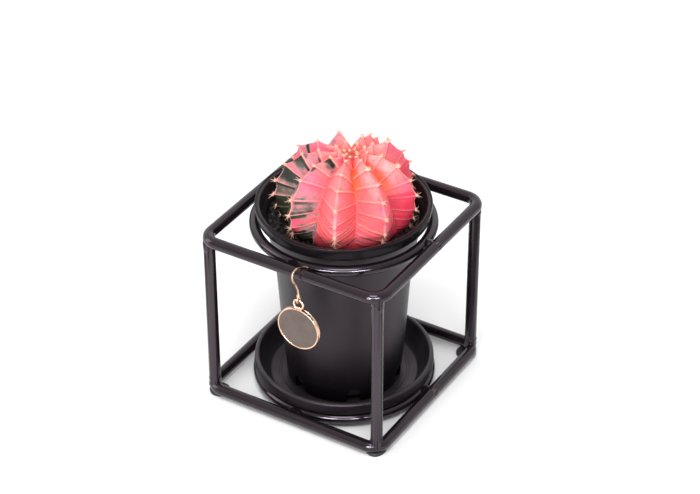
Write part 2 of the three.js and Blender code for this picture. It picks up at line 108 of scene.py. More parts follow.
# The first seed of each set of lumps that repeats.
LUMP_SEEDS = {"pot_ring": 10, "saucer_ring": 20, "posts": 30, "feet": 40, "soil": 71, "grains": 500}

# Pot and saucer: corners of the sections are [radius, height, rounding].
POT_SEGMENTS = 144
POT_BASE = [[0, 2.7], [27.4, 2.7, 0.5], [28.3, 3.9, 0.8]]
POT_WALL = [[29.0, 11.4], [30.9, 36], [32.5, 60], [34.1, 75], [36.2, 86], [38.5, 95.6]]
POT_RIM = [
    [41.7, 96.5, 0.5], [42.45, 101.6, 0.8], [42.3, 102.8, 0.9], [41.5, 102.8, 0.5],
    [41.1, 102.35, 0.3], [40.2, 102.3, 0.5], [39.7, 101.3, 0.6], [38.6, 97.5, 0.6],
]
POT_THICKNESS = 1.25
POT_FLOOR = [[26.4, 5.0, 0.8], [0, 5.0]]
NOTCH_COUNT = 6
NOTCH_START = -109
NOTCH_WIDTH = 7
NOTCH_HEIGHT = 8.5
NOTCH_DROP = 2.0
NOTCH_REACH = (23.5, 33.5)
SAUCER_SECTION = [
    [0, 1.0], [35.8, 1.0, 1.5], [38.2, 2.4, 1.5], [39.7, 5.2, 1.5], [41.4, 7.9, 0.4],
    [44.2, 7.8, 0.5], [44.7, 9.0, 0.8], [44.4, 13.3, 0.9], [43.5, 13.9, 0.5], [42.4, 13.7, 0.6],
    [41.9, 12.4, 0.8], [40.6, 9.0, 1.5], [38.4, 5.0, 1.5], [36.6, 2.7, 1.5], [35.2, 2.4, 0.8],
    [32.6, 2.4, 0.2], [32.4, 2.55, 0.2], [31.4, 2.55, 0.2], [31.2, 2.4, 0.2], [0, 2.4],
]

# Cactus: each rib is [azimuth, angles of its areoles from the top down, bulges], and each bulge is
# [middle angle, spread, millimetres out, millimetres aside].
CACTUS_X = 1.2
CACTUS_Y = 0.6
RIBS = [
    [15, (114, 100, 79, 54, 31, 10.5, -9, -21, -33), []],
    [53, (116, 103, 90, 68, 43, 24, 5, -13, -27), [[64, 14, 2.2, 0]]],
    [92, (113, 104, 85, 61, 38, 16, -4, -20, -33), [[60, 22, -0.9, -0.4]]],
    [133, (115, 101, 73, 50, 28, 8, -11, -25, -36), [[52, 20, -2.0, 0], [25, 27, 0, -4.0]]],
    [180, (113, 103, 81, 48, 27, 7, -12, -26), [[22, 18, -2.5, 0]]],
    [213, (117, 109, 88, 67, 43, 18, -1, -17, -31), []],
    [250, (112, 95, 72, 47.5, 22, 2, -16, -25, -35), []],
    [292, (115, 97, 70, 48.5, 25, 6, -8, -16, -28), [[75, 25, 0, 0.8]]],
    [334, (108, 93, 74, 50.5, 28, 8, -12, -22, -33), [[-25, 20, 0, -1.2]]],
]
BULGE_POWER = 0.7
# The crest's outline is part of an ellipse, and the crown leans a little to one side.
CREST_HUB = 12.4
CREST_REACH = 21.9
CREST_RISE = 23.6
CREST_MIDDLE = 107.5
APEX_ANGLE = math.degrees(math.acos(-CREST_HUB / CREST_REACH))
CROWN_SHIFT = (1.97, 1.19)
CROWN_ANGLES = (75, 124)
YOUNG_ANGLES = (85, 112)
# Grooves: how deep they are, and how round they and the crests are across a face.
GROOVE_DEPTH = 9.4
GROOVE_POWER = 1.15
GROOVE_ROUND = 0.13
GROOVE_START = 0.068
CREST_ROUND = 0.05
CROWN_SPAN = 60
CROWN_POWER = 0.7
# The grooves grow shallow towards the base: the share filled, for the groove after each rib.
BASE_FILL = [0.7, 0.6, 0.6, 0.6, 0.6, 0.6, 0.76, 0.93, 0.8]
FILL_ANGLES = (-40, 12)
LEVEL_ANGLES = (-35, 20)
# How far the groove after a rib turns at the base, in degrees.
GROOVE_SWAY = {6: -3, 7: -4}
SWAY_ANGLES = (-30, 25)
# The crest dips between areoles.
CREST_DIP = 1.0
DIP_SPAN = 10
# Ridges: the angle that they gain between crest and groove, near the base and near the top.
USUAL_RISE = (10, 4)
RISES = {(7, 0): (17, 12), (7, 1): (11, 4), (6, 1): (10, 9), (8, 0): (11, 10)}
RISE_ANGLES = (0, 60)
RISE_POWER = {(7, 0): 0.75}
RISE_WANDER = 1.2
RIDGE_HEIGHT = 0.34
RIDGE_SPREAD = 0.85
RIDGE_END = (0.88, 1.0)
RIDGE_FADE = 0.75
# Fainter ridges lie between two areoles below this angle, and start part of the way across the face.
FAINT_BELOW = 10
FAINT_PLACE = (0.4, 0.6)
FAINT_STRENGTH = (0.1, 0.3)
FAINT_START = (0.3, 0.55)
FAINT_EDGE = 0.12
CREASE_DEPTH = 0.20
CREASE_DROP = 1.9
CREASE_SPREAD = 0.95
# Between two ridges a band of flesh swells, most just above the lower one.
BAND_PUFF = 0.25
BAND_LIP = 0.40
RELIEF_SPAN = 24
# The pale line along a crest: its spread across a face, and how far it shows below and above.
CREST_LINE_SPREAD = 0.032
CREST_LINE_ANGLES = (20, 60)
CREST_LINE_SHOW = 0.75
CREST_LINE_LOSS = 0.3
BODY_LOW = -48
BODY_HIGH = APEX_ANGLE - 0.6
BODY_ROWS = 400
FACE_COLUMNS = (0, 0.03, 0.08, 0.15, 0.24, 0.35, 0.47, 0.6, 0.72, 0.83, 0.92, 0.97)

# Areoles: their size, and the woollier ones of the crown by rib and angle.
LOWEST_AREOLE = -34
AREOLE_SIZE = (0.82, 0.86)
WOOLLY = {(8, 74): 1.5, (0, 54): 1.35, (0, 79): 0.9, (1, 68): 1.5, (1, 90): 1.0, (2, 85): 1.25}
WOOL_PAD = [[0, -0.6], [0.75, -0.5, 0.3], [0.85, 0.0, 0.4], [0.5, 0.42, 0.3], [0, 0.5]]
WOOL_STRETCH = 1.25
WOOL_HAIRS = 54
WOOL_LENGTH = (0.5, 1.15)
WOOL_RADIUS = 0.075
WOOL_TILT = (0.3, 1.5)
WOOL_BEND = (-0.3, 0.4)
SPINE_COUNT = (4, 7)
SPINE_LENGTH = (1.8, 3.4)
SPINE_RADIUS = 0.2
SPINE_LIFT = (0.15, 0.8)
SPINE_TAPER = 0.8
SHORT_ANGLES = (50, 100)
SHORTENING = 0.55
# An old areole with a thick upright tuft of spines, and the ribs whose lower spines are browner.
TUFTED = (1, 68)
TUFT_COUNT = 16
TUFT_LENGTH = (1.0, 2.3)
TUFT_RADIUS = 0.19
BROWN_RIBS = (0, 1)
BROWN_BELOW = 60
BROWN_SHARE = 0.3
YOUNG_SHARE = 0.55
YOUNG_SPINES = (90, 112)

# Soil.
SOIL_LEVEL = 93.2
SOIL_RADIUS = 36.4
SOIL_BASE = [[0, 5.3], [26.1, 5.3]]
SOIL_GAP = 1.55
SOIL_SINK = 0.3
GRAIN_COUNT = 1300
GRAIN_SHAPES = 24
GRAIN_SIZE = (0.55, 1.35)
GRAIN_LEVEL = (-0.5, 0.9)
GRAIN_EDGE = 0.6
GRAIN_BELT = 14
GRAIN_CROWDING = 1.3
GRAIN_DARKNESS = 1.6

# Tag, hung from a wire hook over the front top rod.
TAG_MIDDLE = (6.2, -50.6, 61.8)
TAG_RADIUS = 11.2
TAG_HALF_THICKNESS = 1.0
TAG_RIM = 0.7
TAG_SEGMENTS = 96
FIELD_DEPTH = 0.35
ENAMEL_GAP = 0.06
BAIL_RADIUS = 2.5
BAIL_WIRE = 0.5
BAIL_HEIGHT = 13.5
LUG = [[0, -0.9], [0.9, -0.9, 0.3], [1.15, 0, 0.6], [0.8, 0.75, 0.3], [0, 0.75]]
LUG_HEIGHT = 11.35
LUG_FLATNESS = 0.5
HOOK_WIRE = 0.45
EYE_RADIUS = 1.3
HOOK_SHANK = [
    (0, 0, 1.3), (0, 0.1, 3.4), (0, -0.5, 6.2), (0, -2.0, 9.6),
    (0, -4.1, 12.8), (0, -4.9, 15.6), (0, -3.9, 17.7), (0.1, -1.2, 18.4),
]
HOOK_TIP = [(0.4, -48.2, 3.75), (1.1, -46.3, 3.1), (2.2, -45.3, 2.2)]
HOOK_TIP_REACH = 0.3
HOOK_TIP_TAPER = 0.45
WINDING_RADIUS = 0.62
WINDING_WIRE = 0.26
WINDING_TURNS = 3.2
WINDING_PITCH = 0.5
WINDING_START = EYE_RADIUS + 0.25

HALF = LOOP_SIDE / 2
POST_OFFSET = HALF - LOOP_CORNER + LOOP_CORNER * math.sqrt(0.5)
CORNERS = {"front_left": (-1, -1), "front_right": (1, -1), "back_right": (1, 1), "back_left": (-1, 1)}

rng = np.random.default_rng(SEED)


def node_middle(node):
    low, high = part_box(node)
    return np.array((low + high) / 2)


AXIS = node_middle("saucer") * (1, 1, 0)


# Mesh helpers
class Form:
    """A mesh in the making: points, faces, and float values kept at each point."""

    def __init__(self, *value_names):
        self.points = []
        self.faces = []
        self.values = {name: [] for name in value_names}
        self.count = 0

    def add(self, points, faces, **values):
        self.points.append(points)
        self.faces.extend([tuple(int(i) + self.count for i in face) for face in faces])
        for name, kept in self.values.items():
            kept.append(np.broadcast_to(values[name], len(points)))
        self.count += len(points)
        return self

    def mesh(self, name):
        made = bpy.data.meshes.new(name)
        made.from_pydata((np.vstack(self.points) * MM + AXIS).tolist(), [], self.faces)
        for key, kept in self.values.items():
            attribute = made.attributes.new(key, "FLOAT", "POINT")
            attribute.data.foreach_set("value", np.concatenate(kept).astype(np.float32))
        return made


def new_object(name, data):
    item = bpy.data.objects.new(name, data)
    bpy.context.scene.collection.objects.link(item)
    return item


def piece(name, form, material, nodes=(), body="stand", sharp=40):
    """A piece of the object. Edges sharper than the angle sharp show, unless it is 0."""
    mesh = form.mesh(name)
    mesh.shade_smooth()
    if sharp:
        mesh.set_sharp_from_angle(angle=math.radians(sharp))
    mesh.materials.append(material)
    item = new_object(name, mesh)
    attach(item, body)
    if nodes:
        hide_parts(*nodes)
    return item


def skin(rings, closed=False, start=None, end=None):
    """Faces between rings of points. start and end are the points that close the first and last ring."""
    rows, columns = rings.shape[:2]
    index = np.arange(rows * columns).reshape(rows, columns)
    corners = [index, np.roll(index, -1, 1), np.roll(index, (-1, -1), (0, 1)), np.roll(index, -1, 0)]
    quads = np.stack(corners, axis=-1)[:rows if closed else rows - 1]
    points, faces = rings.reshape(-1, 3), quads.reshape(-1, 4).tolist()
    for pole, edge in ((start, index[0, ::-1]), (end, index[-1])):
        if pole is not None:
            faces += [(len(points), a, b) for a, b in zip(edge, np.roll(edge, -1))]
            points = np.vstack([points, pole])
    return points, faces


def unit(vectors):
    return vectors / np.linalg.norm(vectors, axis=-1, keepdims=True)


def circle(radius, count, up=(0, 1, 0), across=(1, 0, 0)):
    """Points of a circle round the origin, which starts at across and turns towards up."""
    turn = np.linspace(0, 2 * np.pi, count, endpoint=False)[:, None]
    return radius * (np.cos(turn) * across + np.sin(turn) * up)


def tube(path, radii, sides, closed=False):
    """A round tube along a path."""
    if closed:
        along = unit(np.roll(path, -1, axis=0) - np.roll(path, 1, axis=0))
    else:
        along = unit(np.gradient(path, axis=0))
    across = unit(np.cross(along[0], np.eye(3)[np.argmin(np.abs(along[0]))]))
    rings = []
    for here, direction, radius in zip(path, along, np.broadcast_to(radii, len(path))):
        across = unit(across - direction * (across @ direction))
        rings.append(here + circle(radius, sides, np.cross(direction, across), across))
    if closed:
        return skin(np.array(rings), closed=True)
    return skin(np.array(rings), start=path[0], end=path[-1])


def revolve(profile, segments):
    """Turns [radius, height] points, which start and end on the axis, round Z."""
    radii, heights = np.array(profile, float).T[:, :, None, None]
    rings = radii * circle(1, segments) + heights * (0, 0, 1)
    return skin(rings[1:-1], start=rings[0, 0], end=rings[-1, 0])


def rounded(corners, steps=5):
    """A section from [radius, height, rounding] corners."""
    made = [corners[0][:2]]
    for i in range(1, len(corners) - 1):
        here, before, after = (np.array(corners[j][:2], float) for j in (i, i - 1, i + 1))
        if len(corners[i]) < 3:
            made.append(here)
            continue
        back, on = before - here, after - here
        bend = min(corners[i][2], 0.49 * np.linalg.norm(back), 0.49 * np.linalg.norm(on))
        first, second = here + unit(back) * bend, here + unit(on) * bend
        for t in np.linspace(0, 1, steps):
            made.append(first * (1 - t) ** 2 + here * 2 * t * (1 - t) + second * t * t)
    return np.array([*made, corners[-1][:2]], float)


def smooth_curve(points, steps):
    """A Catmull-Rom curve through the points, with steps pieces between neighbours."""
    points = np.asarray(points, float)
    ends = np.vstack([2 * points[0] - points[1], points, 2 * points[-1] - points[-2]])
    made = []
    for a, b, c, d in zip(ends, ends[1:], ends[2:], ends[3:]):
        for t in np.arange(steps) / steps:
            bend, twist = 2 * a - 5 * b + 4 * c - d, 3 * b - a - 3 * c + d
            made.append(b + t / 2 * (c - a + t * (bend + t * twist)))
    return np.array([*made, points[-1]])


def waves(points, lumps, seed):
    """Smooth noise about zero. lumps are how far across its lumps are, and how deep."""
    across, depth = lumps
    draw = np.random.default_rng(seed)
    directions = unit(draw.normal(size=(WAVE_COUNT, 3))) * 2 * np.pi / across
    directions *= draw.uniform(*WAVE_SPREAD, (WAVE_COUNT, 1))
    phases = draw.uniform(0, 2 * np.pi, WAVE_COUNT)
    height = np.sin(np.asarray(points) @ directions.T + phases).sum(axis=-1)
    return height / math.sqrt(2 * WAVE_COUNT) * depth


def lumpy(form_part, lumps, seed):
    """The same points, pushed out and in from their own middle by smooth noise."""
    points, faces = form_part
    away = unit(points - points.mean(axis=0) + 1e-9)
    return points + away * waves(points, lumps, seed)[:, None], faces


def placed(form_part, middle=(0, 0, 0), matrix=np.eye(3)):
    points, faces = form_part
    return points @ matrix.T + middle, faces


def turn_z(angle):
    c, s = math.cos(math.radians(angle)), math.sin(math.radians(angle))
    return np.array([[c, -s, 0], [s, c, 0], [0, 0, 1]])


def soft_step(value, low, high):
    t = np.clip((value - low) / (high - low), 0, 1)
    return t * t * (3 - 2 * t)


def gauss(value, spread):
    return np.exp(-(value / spread) ** 2)


# Materials. Black plastic and powder coat shine a little purple.
BLACK_SHEEN = (0.98, 0.82, 0.94, 1.0)


class Nodes:
    """A node tree, whose noise and positions use one kind of coordinates."""

    def __init__(self, tree, coordinates):
        self.tree = tree
        self.place = self.node("ShaderNodeTexCoord")[coordinates]

    def join(self, source, target):
        if isinstance(source, bpy.types.NodeSocket):
            self.tree.links.new(source, target)
        else:
            target.default_value = source

    def node(self, kind, inputs=None, **settings):
        """The outputs of a new node, whose inputs are named or numbered."""
        made = self.tree.nodes.new(kind)
        for key, value in settings.items():
            setattr(made, key, value)
        for key, source in (inputs or {}).items():
            self.join(source, made.inputs[key])
        return made.outputs

    def spread(self, value, low, high, to_low=0.0, to_high=1.0):
        """Carries the values from low to high over to to_low to to_high."""
        ends = {"From Min": low, "From Max": high, "To Min": to_low, "To Max": to_high}
        return self.node("ShaderNodeMapRange", {"Value": value, **ends}, clamp=True)["Result"]


class Paint(Nodes):
    """One node material. Plain values go on the Principled shader's own sockets."""

    def __init__(self, name, **values):
        self.material = bpy.data.materials.new(name)
        self.material.use_nodes = True
        super().__init__(self.material.node_tree, "Object")
        self.shader = self.tree.nodes["Principled BSDF"]
        self.tone = None
        self.shade(**values)

    def shade(self, **sources):
        """Joins sources to the shader, whose sockets' names have underscores for spaces."""
        for socket, source in sources.items():
            self.join(source, self.shader.inputs[socket.replace("_", " ")])

    def value(self, name):
        return self.node("ShaderNodeAttribute", attribute_name=name)["Fac"]

    def noise(self, size, detail, stretch=None, roughness=0.55):
        """Noise whose lumps are about size millimetres across."""
        place = self.place
        if stretch:
            place = self.node("ShaderNodeMapping", {"Vector": place, "Scale": stretch})["Vector"]
        inputs = {"Vector": place, "Scale": 1 / (size * MM), "Detail": detail, "Roughness": roughness}
        return self.node("ShaderNodeTexNoise", inputs)["Fac"]

    def math(self, operation, first, second):
        return self.node("ShaderNodeMath", {0: first, 1: second}, operation=operation)["Value"]

    def less(self, value, where, drop):
        """The value, lower by drop where where is 1."""
        return self.math("SUBTRACT", value, self.math("MULTIPLY", where, drop))

    def ramp(self, value, stops):
        """stops are (place, colour or grey)."""
        made = self.tree.nodes.new("ShaderNodeValToRGB")
        elements = made.color_ramp.elements
        while len(elements) < len(stops):
            elements.new(0.5)
        for element, (place, colour) in zip(elements, stops):
            element.position = place
            element.color = (*colour, 1) if isinstance(colour, tuple) else (colour, colour, colour, 1)
        self.join(value, made.inputs["Fac"])
        return made.outputs["Color"]

    def cloud(self, size, detail, low, high, full=0.7):
        """Clouds of two colours or greys. full is the noise at which the second is pure."""
        return self.ramp(self.noise(size, detail), [(0.3, low), (full, high)])

    def uneven(self, size, detail, low, high):
        """A value that wanders between low and high."""
        return self.spread(self.noise(size, detail), 0.3, 0.7, low, high)

    def mix(self, share, first, second):
        first, second = ((*end, 1) if isinstance(end, tuple) else end for end in (first, second))
        return self.node("ShaderNodeMix", {"Factor": share, 6: first, 7: second}, data_type="RGBA")[2]

    def lay(self, colour, share, strength=None):
        """Lays a colour over the tone so far."""
        if strength is not None:
            share = self.math("MULTIPLY", share, strength)
        self.tone = self.mix(share, self.tone, colour)

    def height(self, low, high):
        """0 below low and 1 above high, in millimetres above the ground."""
        rise = self.node("ShaderNodeSeparateXYZ", {"Vector": self.place})["Z"]
        return self.spread(rise, low * MM, high * MM)

    def reach(self, low, high):
        """0 nearer to the stand's axis than low and 1 beyond high, in millimetres."""
        flat = self.node("ShaderNodeMapping", {"Vector": self.place, "Scale": (1, 1, 0)})["Vector"]
        apart = self.node("ShaderNodeVectorMath", {0: flat, 1: tuple(AXIS)}, operation="DISTANCE")["Value"]
        return self.spread(apart, low * MM, high * MM)

    def upward(self):
        """1 where the surface faces up, and 0 where it faces sideways or down."""
        normal = self.node("ShaderNodeNewGeometry")["Normal"]
        return self.spread(self.node("ShaderNodeSeparateXYZ", {"Vector": normal})["Z"], 0.1, 0.95)

    def bumps(self, *heights):
        """heights are (socket, depth in millimetres)."""
        below = {}
        for height, depth in heights:
            inputs = {"Height": height, "Distance": depth * MM, **below}
            below = {"Normal": self.node("ShaderNodeBump", inputs)["Normal"]}
        self.shade(**below)


def plain_paint(name, cloud, rough=None, bump=None, **values):
    """Clouds of two colours, with uneven roughness and fine bumps of a noise's size, detail and depth."""
    paint = Paint(name, **values)
    paint.shade(Base_Color=paint.cloud(*cloud))
    if rough:
        paint.shade(Roughness=paint.uneven(*rough))
    if bump:
        size, detail, depth = bump
        paint.bumps((paint.noise(size, detail), depth))
    return paint.material


def gold_paint(name, low, high):
    return plain_paint(name, (4, 3, low, high), (1.5, 3, 0.2, 0.32), (0.6, 3, 0.01), Metallic=1.0)


def coat_paint(name, streaked=False):
    """Satin black powder coat with fine orange peel, and on drawn rod also fine upright streaks."""
    paint = Paint(name, Specular_Tint=BLACK_SHEEN)
    paint.shade(
        Base_Color=paint.cloud(9, 2, (0.0065, 0.0045, 0.006), (0.0105, 0.0075, 0.0098)),
        Roughness=paint.uneven(5, 3, 0.12, 0.18),
    )
    if streaked:
        streak = paint.noise(1.1, 2, stretch=(1, 1, 0.01))
        paint.shade(Specular_IOR_Level=paint.spread(streak, 0.42, 0.58, 0.12, 0.75))
    paint.bumps((paint.noise(0.9, 2), 0.007), (paint.noise(0.3, 2), 0.002))
    return paint.material


def pot_paint():
    """Fine matt plastic in faint upright streaks, smoother at the rim, with painted shade at rim and foot.
    """
    paint = Paint("pot_plastic", Specular_Tint=BLACK_SHEEN)
    streaks = paint.noise(16, 3, stretch=(1, 1, 0.18))
    dust = paint.ramp(paint.noise(0.8, 4), [(0.62, 0.0), (0.8, 1.0)])
    # Painted shade: the rim band under the lip and the foot are made darker and less shiny.
    rim = paint.math("MULTIPLY", paint.height(93, 95.5), paint.reach(40.9, 41.4))
    painted_shade_at_foot = paint.height(38, 6)
    paint.tone = paint.ramp(streaks, [(0.3, (0.008, 0.0056, 0.0078)), (0.7, (0.0125, 0.009, 0.0116))])
    # Painted shade on the rim band, and more of it towards the foot.
    paint.lay((0.005, 0.0038, 0.0048), rim)
    paint.lay((0.0022, 0.0016, 0.0026), painted_shade_at_foot)
    paint.lay((0.05, 0.04, 0.045), dust, 0.16)
    paint.shade(
        Base_Color=paint.tone,
        Specular_IOR_Level=paint.less(paint.less(0.36, rim, 0.21), painted_shade_at_foot, 0.22),
        Roughness=paint.less(paint.spread(streaks, 0.3, 0.7, 0.34, 0.44), rim, 0.12),
    )
    paint.bumps((paint.noise(0.45, 2), 0.012), (paint.noise(6, 2), 0.02))
    return paint.material


def saucer_paint():
    """Satin plastic with painted light: paler and shinier where it faces up than sideways or down."""
    paint = Paint("saucer_plastic", Specular_Tint=BLACK_SHEEN)
    # Painted light on faces that look up, painted shade on those that look sideways or down.
    painted_light_facing_up = paint.upward()
    paint.tone = paint.cloud(12, 4, (0.006, 0.0042, 0.006), (0.0095, 0.007, 0.0092))
    paint.lay(paint.cloud(9, 4, (0.02, 0.016, 0.019), (0.03, 0.0245, 0.028)), painted_light_facing_up)
    paint.shade(
        Base_Color=paint.tone,
        Specular_IOR_Level=paint.spread(painted_light_facing_up, 0, 1, 0.12, 0.40),
        Roughness=paint.uneven(7, 4, 0.34, 0.48),
    )
    paint.bumps((paint.noise(0.5, 2), 0.014), (paint.noise(5, 2), 0.02))
    return paint.material


def soil_paint():
    """Dark grit, with paler grains and dark dust over them."""
    paint = Paint("potting_grit", Specular_IOR_Level=0.3)
    paint.tone = paint.ramp(paint.value("tone"), [
        (0.0, (0.006, 0.004, 0.004)),
        (0.6, (0.018, 0.012, 0.011)),
        (0.88, (0.055, 0.037, 0.036)),
        (1.0, (0.13, 0.09, 0.095)),
    ])
    paint.lay((0.010, 0.007, 0.006), paint.noise(0.7, 3))
    paint.shade(Base_Color=paint.tone, Roughness=paint.uneven(1.2, 2, 0.55, 0.9))
    paint.bumps((paint.noise(0.5, 4), 0.15))
    return paint.material


def flesh_paint():
    """Waxy coral flesh: paler crests and ridges, orange grooves, crimson foot and green patches."""
    paint = Paint(
        "cactus_flesh",
        Specular_IOR_Level=0.25,
        Subsurface_Weight=0.12,
        Subsurface_Radius=(0.003, 0.001, 0.0008),
        Subsurface_Scale=1.0,
    )
    rise, mottle, grain = paint.value("rise"), paint.noise(2.2, 4), paint.noise(0.55, 3)
    wander = paint.spread(mottle, 0, 1, -0.25, 0.25)

    def cover(name, colour, low, high):
        """Lays a colour where the named patches are, with uneven edges."""
        paint.lay(colour, paint.spread(paint.math("ADD", paint.value(name), wander), low, high))

    def downward(low, high):
        """A share that grows from low to high towards the foot."""
        return paint.spread(rise, 0.42, 0.15, low, high)

    paint.tone = paint.ramp(rise, [
        (0.08, (0.78, 0.040, 0.070)),
        (0.30, (0.88, 0.075, 0.090)),
        (0.60, (0.84, 0.120, 0.135)),
        (0.85, (0.90, 0.240, 0.235)),
        (1.0, (0.82, 0.180, 0.150)),
    ])
    across = paint.math("ADD", paint.value("across"), paint.math("MULTIPLY", mottle, 0.3))
    paint.lay((0.90, 0.28, 0.32), paint.spread(across, 0.65, 0.2), 0.20)
    # Painted highlights: pale patches where upper faces catch the light.
    cover("painted_highlight", (0.96, 0.42, 0.40), 0.2, 1.15)
    cover("rosy", (0.84, 0.10, 0.22), 0.2, 1.1)
    cover("orange", (0.94, 0.13, 0.03), 0.15, 0.85)
    # Painted shadow: a darker crimson band just under each ridge, stronger towards the foot.
    painted_shadow_under_ridge = paint.ramp(paint.value("band"), [(0.0, 1.0), (0.5, 0.15), (0.7, 0.0)])
    paint.lay((0.66, 0.030, 0.060), painted_shadow_under_ridge, downward(0.35, 0.9))
    paint.lay((0.97, 0.42, 0.38), paint.spread(grain, 0.35, 0.75, 0.0, 0.25))
    paint.lay((0.62, 0.045, 0.070), paint.spread(mottle, 0.5, 0.25, 0.0, 0.35))
    cover("crimson", (0.70, 0.016, 0.060), 0.2, 1.2)
    streak = paint.noise(4, 4, stretch=(1, 1, 1.7), roughness=0.5)
    broken = paint.math("ADD", paint.value("dark"), paint.spread(streak, 0, 1, -0.45, 0.45))
    shade = paint.ramp(broken, [
        (0.25, (0.72, 0.160, 0.220)),
        (0.45, (0.46, 0.165, 0.185)),
        (0.60, (0.21, 0.125, 0.120)),
        (0.75, (0.080, 0.070, 0.045)),
        (1.0, (0.010, 0.013, 0.005)),
    ])
    paint.lay(shade, paint.spread(broken, 0.15, 0.42))
    dark = paint.spread(broken, 0.45, 0.95)
    # Painted shade in the crease under each ridge, near black within the dark patches, stronger towards
    # the foot.
    painted_crease_shade = paint.mix(dark, (0.68, 0.024, 0.055), (0.006, 0.007, 0.003))
    paint.lay(painted_crease_shade, paint.value("crease"), downward(0.35, 0.7))
    line_tone = paint.mix(downward(0, 1), (0.98, 0.48, 0.44), (1.0, 0.49, 0.35))
    line_tone = paint.mix(paint.value("crimson"), line_tone, (0.98, 0.30, 0.34))
    line_tone = paint.mix(dark, line_tone, (0.20, 0.155, 0.090))
    paint.lay(line_tone, paint.value("line"), downward(0.6, 0.8))
    paint.shade(Base_Color=paint.tone, Roughness=paint.spread(mottle, 0.3, 0.7, 0.45, 0.6))
    paint.bumps((grain, 0.10), (mottle, 0.16))
    return paint.material


def spine_paint():
    """Horn, browner towards the tip and on young spines."""
    paint = Paint("spine_horn", Roughness=0.45, Specular_IOR_Level=0.4)
    plain = paint.mix(paint.value("along"), (0.90, 0.58, 0.45), (0.72, 0.42, 0.27))
    paint.shade(Base_Color=paint.mix(paint.value("young"), plain, (0.42, 0.15, 0.085)))
    return paint.material


COAT, POST_COAT = coat_paint("powder_coat"), coat_paint("powder_coat_drawn", streaked=True)
FOOT = plain_paint(
    "foot_rubber",
    cloud=(3, 3, (0.012, 0.010, 0.012), (0.030, 0.027, 0.030), 0.75),
    rough=(2, 3, 0.5, 0.7),
    bump=(1.1, 3, 0.1),
    Specular_IOR_Level=0.4,
)
POT, SAUCER, SOIL, FLESH, SPINE = pot_paint(), saucer_paint(), soil_paint(), flesh_paint(), spine_paint()
WOOL = plain_paint(
    "areole_wool",
    cloud=(0.8, 3, (0.84, 0.43, 0.31), (0.98, 0.66, 0.52)),
    Roughness=0.9,
    Subsurface_Weight=0.1,
    Subsurface_Radius=(0.001, 0.0007, 0.0004),
)
GOLD = gold_paint("rose_gold", (0.80, 0.50, 0.36), (0.90, 0.62, 0.47))
HOOK_GOLD = gold_paint("hook_gold", (0.58, 0.35, 0.20), (0.74, 0.48, 0.31))
ENAMEL = plain_paint(
    "grey_enamel",
    cloud=(5, 4, (0.075, 0.052, 0.042), (0.105, 0.075, 0.062)),
    rough=(2, 3, 0.3, 0.42),
    bump=(0.4, 3, 0.01),
)


# Stand
def loop_path(height):
    """The middle line of a square loop with round corners, in fine steps where its ends are joined."""
    centre = HALF - LOOP_CORNER
    seam = np.arange(SEAMS[0] - SEAM_MARGIN, SEAMS[-1] + SEAM_MARGIN, SEAM_STEP)
    corner = circle(LOOP_CORNER, 4 * (CORNER_STEPS - 1))[:CORNER_STEPS] + (centre, centre, 0)
    path = []
    for side in range(4):
        shares = np.linspace(0, 1, SIDE_STEPS)[1:-1]
        if side == 3:
            shares = np.sort(np.append(shares, (seam + centre) / (2 * centre)))
        straight = corner[-1] + (turn_z(90) @ corner[0] - corner[-1]) * shares[:, None]
        path.append(np.vstack([corner, straight]) @ turn_z(90 * side).T)
    return np.vstack(path) + (0, 0, height)


def build_loop(name, node, height):
    path = loop_path(height)
    on_right = path[:, 0] > HALF - 0.1
    radii = np.full(len(path), ROD_RADIUS)
    for seam in SEAMS:
        radii -= on_right * SEAM_DEPTH * gauss(path[:, 1] - seam, SEAM_WIDTH)
    piece(name, Form().add(*tube(path, radii, ROD_SIDES, closed=True)), COAT, [node])


def web(half_length, seed):
    """A flat, slightly uneven fillet of weld along X, from the middle of one rod to that of the other."""
    path = np.linspace((-half_length, 0, 0), (half_length, 0, 0), 21)
    points, faces = tube(path, WEB_HALF_HEIGHT, 36)
    return lumpy((points * (1, WEB_HALF_WIDTH / WEB_HALF_HEIGHT, 1), faces), WEB_LUMPS, seed)


def build_ring(name, node, height):
    path = circle(RING_RADIUS, RING_STEPS) + (0, 0, height)
    form = Form().add(*tube(path, RING_ROD_RADIUS, RING_ROD_SIDES, closed=True))
    for side, offset in enumerate(WEB_OFFSETS):
        near = math.sqrt(RING_RADIUS ** 2 - offset ** 2)
        weld = placed(web((HALF - near) / 2, LUMP_SEEDS[node] + side), ((near + HALF) / 2, offset, height))
        form.add(*placed(weld, matrix=turn_z(90 * side)))
    piece(name, form, COAT, [node])


def build_post(name, node, corner, seed):
    low, high = LOWER_PLANE + POST_INSET, UPPER_PLANE - POST_INSET
    reach = ROD_RADIUS + COLLAR_HEIGHT
    heights = np.concatenate([
        np.linspace(low, low + reach, COLLAR_STEPS),
        np.linspace(low + reach, high - reach, POST_STEPS)[1:-1],
        np.linspace(high - reach, high, COLLAR_STEPS),
    ])
    collar = np.clip((reach - np.minimum(heights - low, high - heights)) / COLLAR_RISE, 0, 1)
    radii = ROD_RADIUS + (COLLAR_RADIUS - ROD_RADIUS) * np.sqrt(collar)
    points, faces = tube(heights[:, None] * (0, 0, 1), radii, ROD_SIDES)
    near_end = np.minimum(points[:, 2] - low, high - points[:, 2]) < reach
    away = unit(points * (1, 1, 0) + (1e-9, 0, 0))
    points += away * (waves(points, COLLAR_LUMPS, seed) * near_end)[:, None]
    form = Form().add(points + (*np.multiply(corner, POST_OFFSET), 0), faces)
    piece(name, form, POST_COAT, [node])


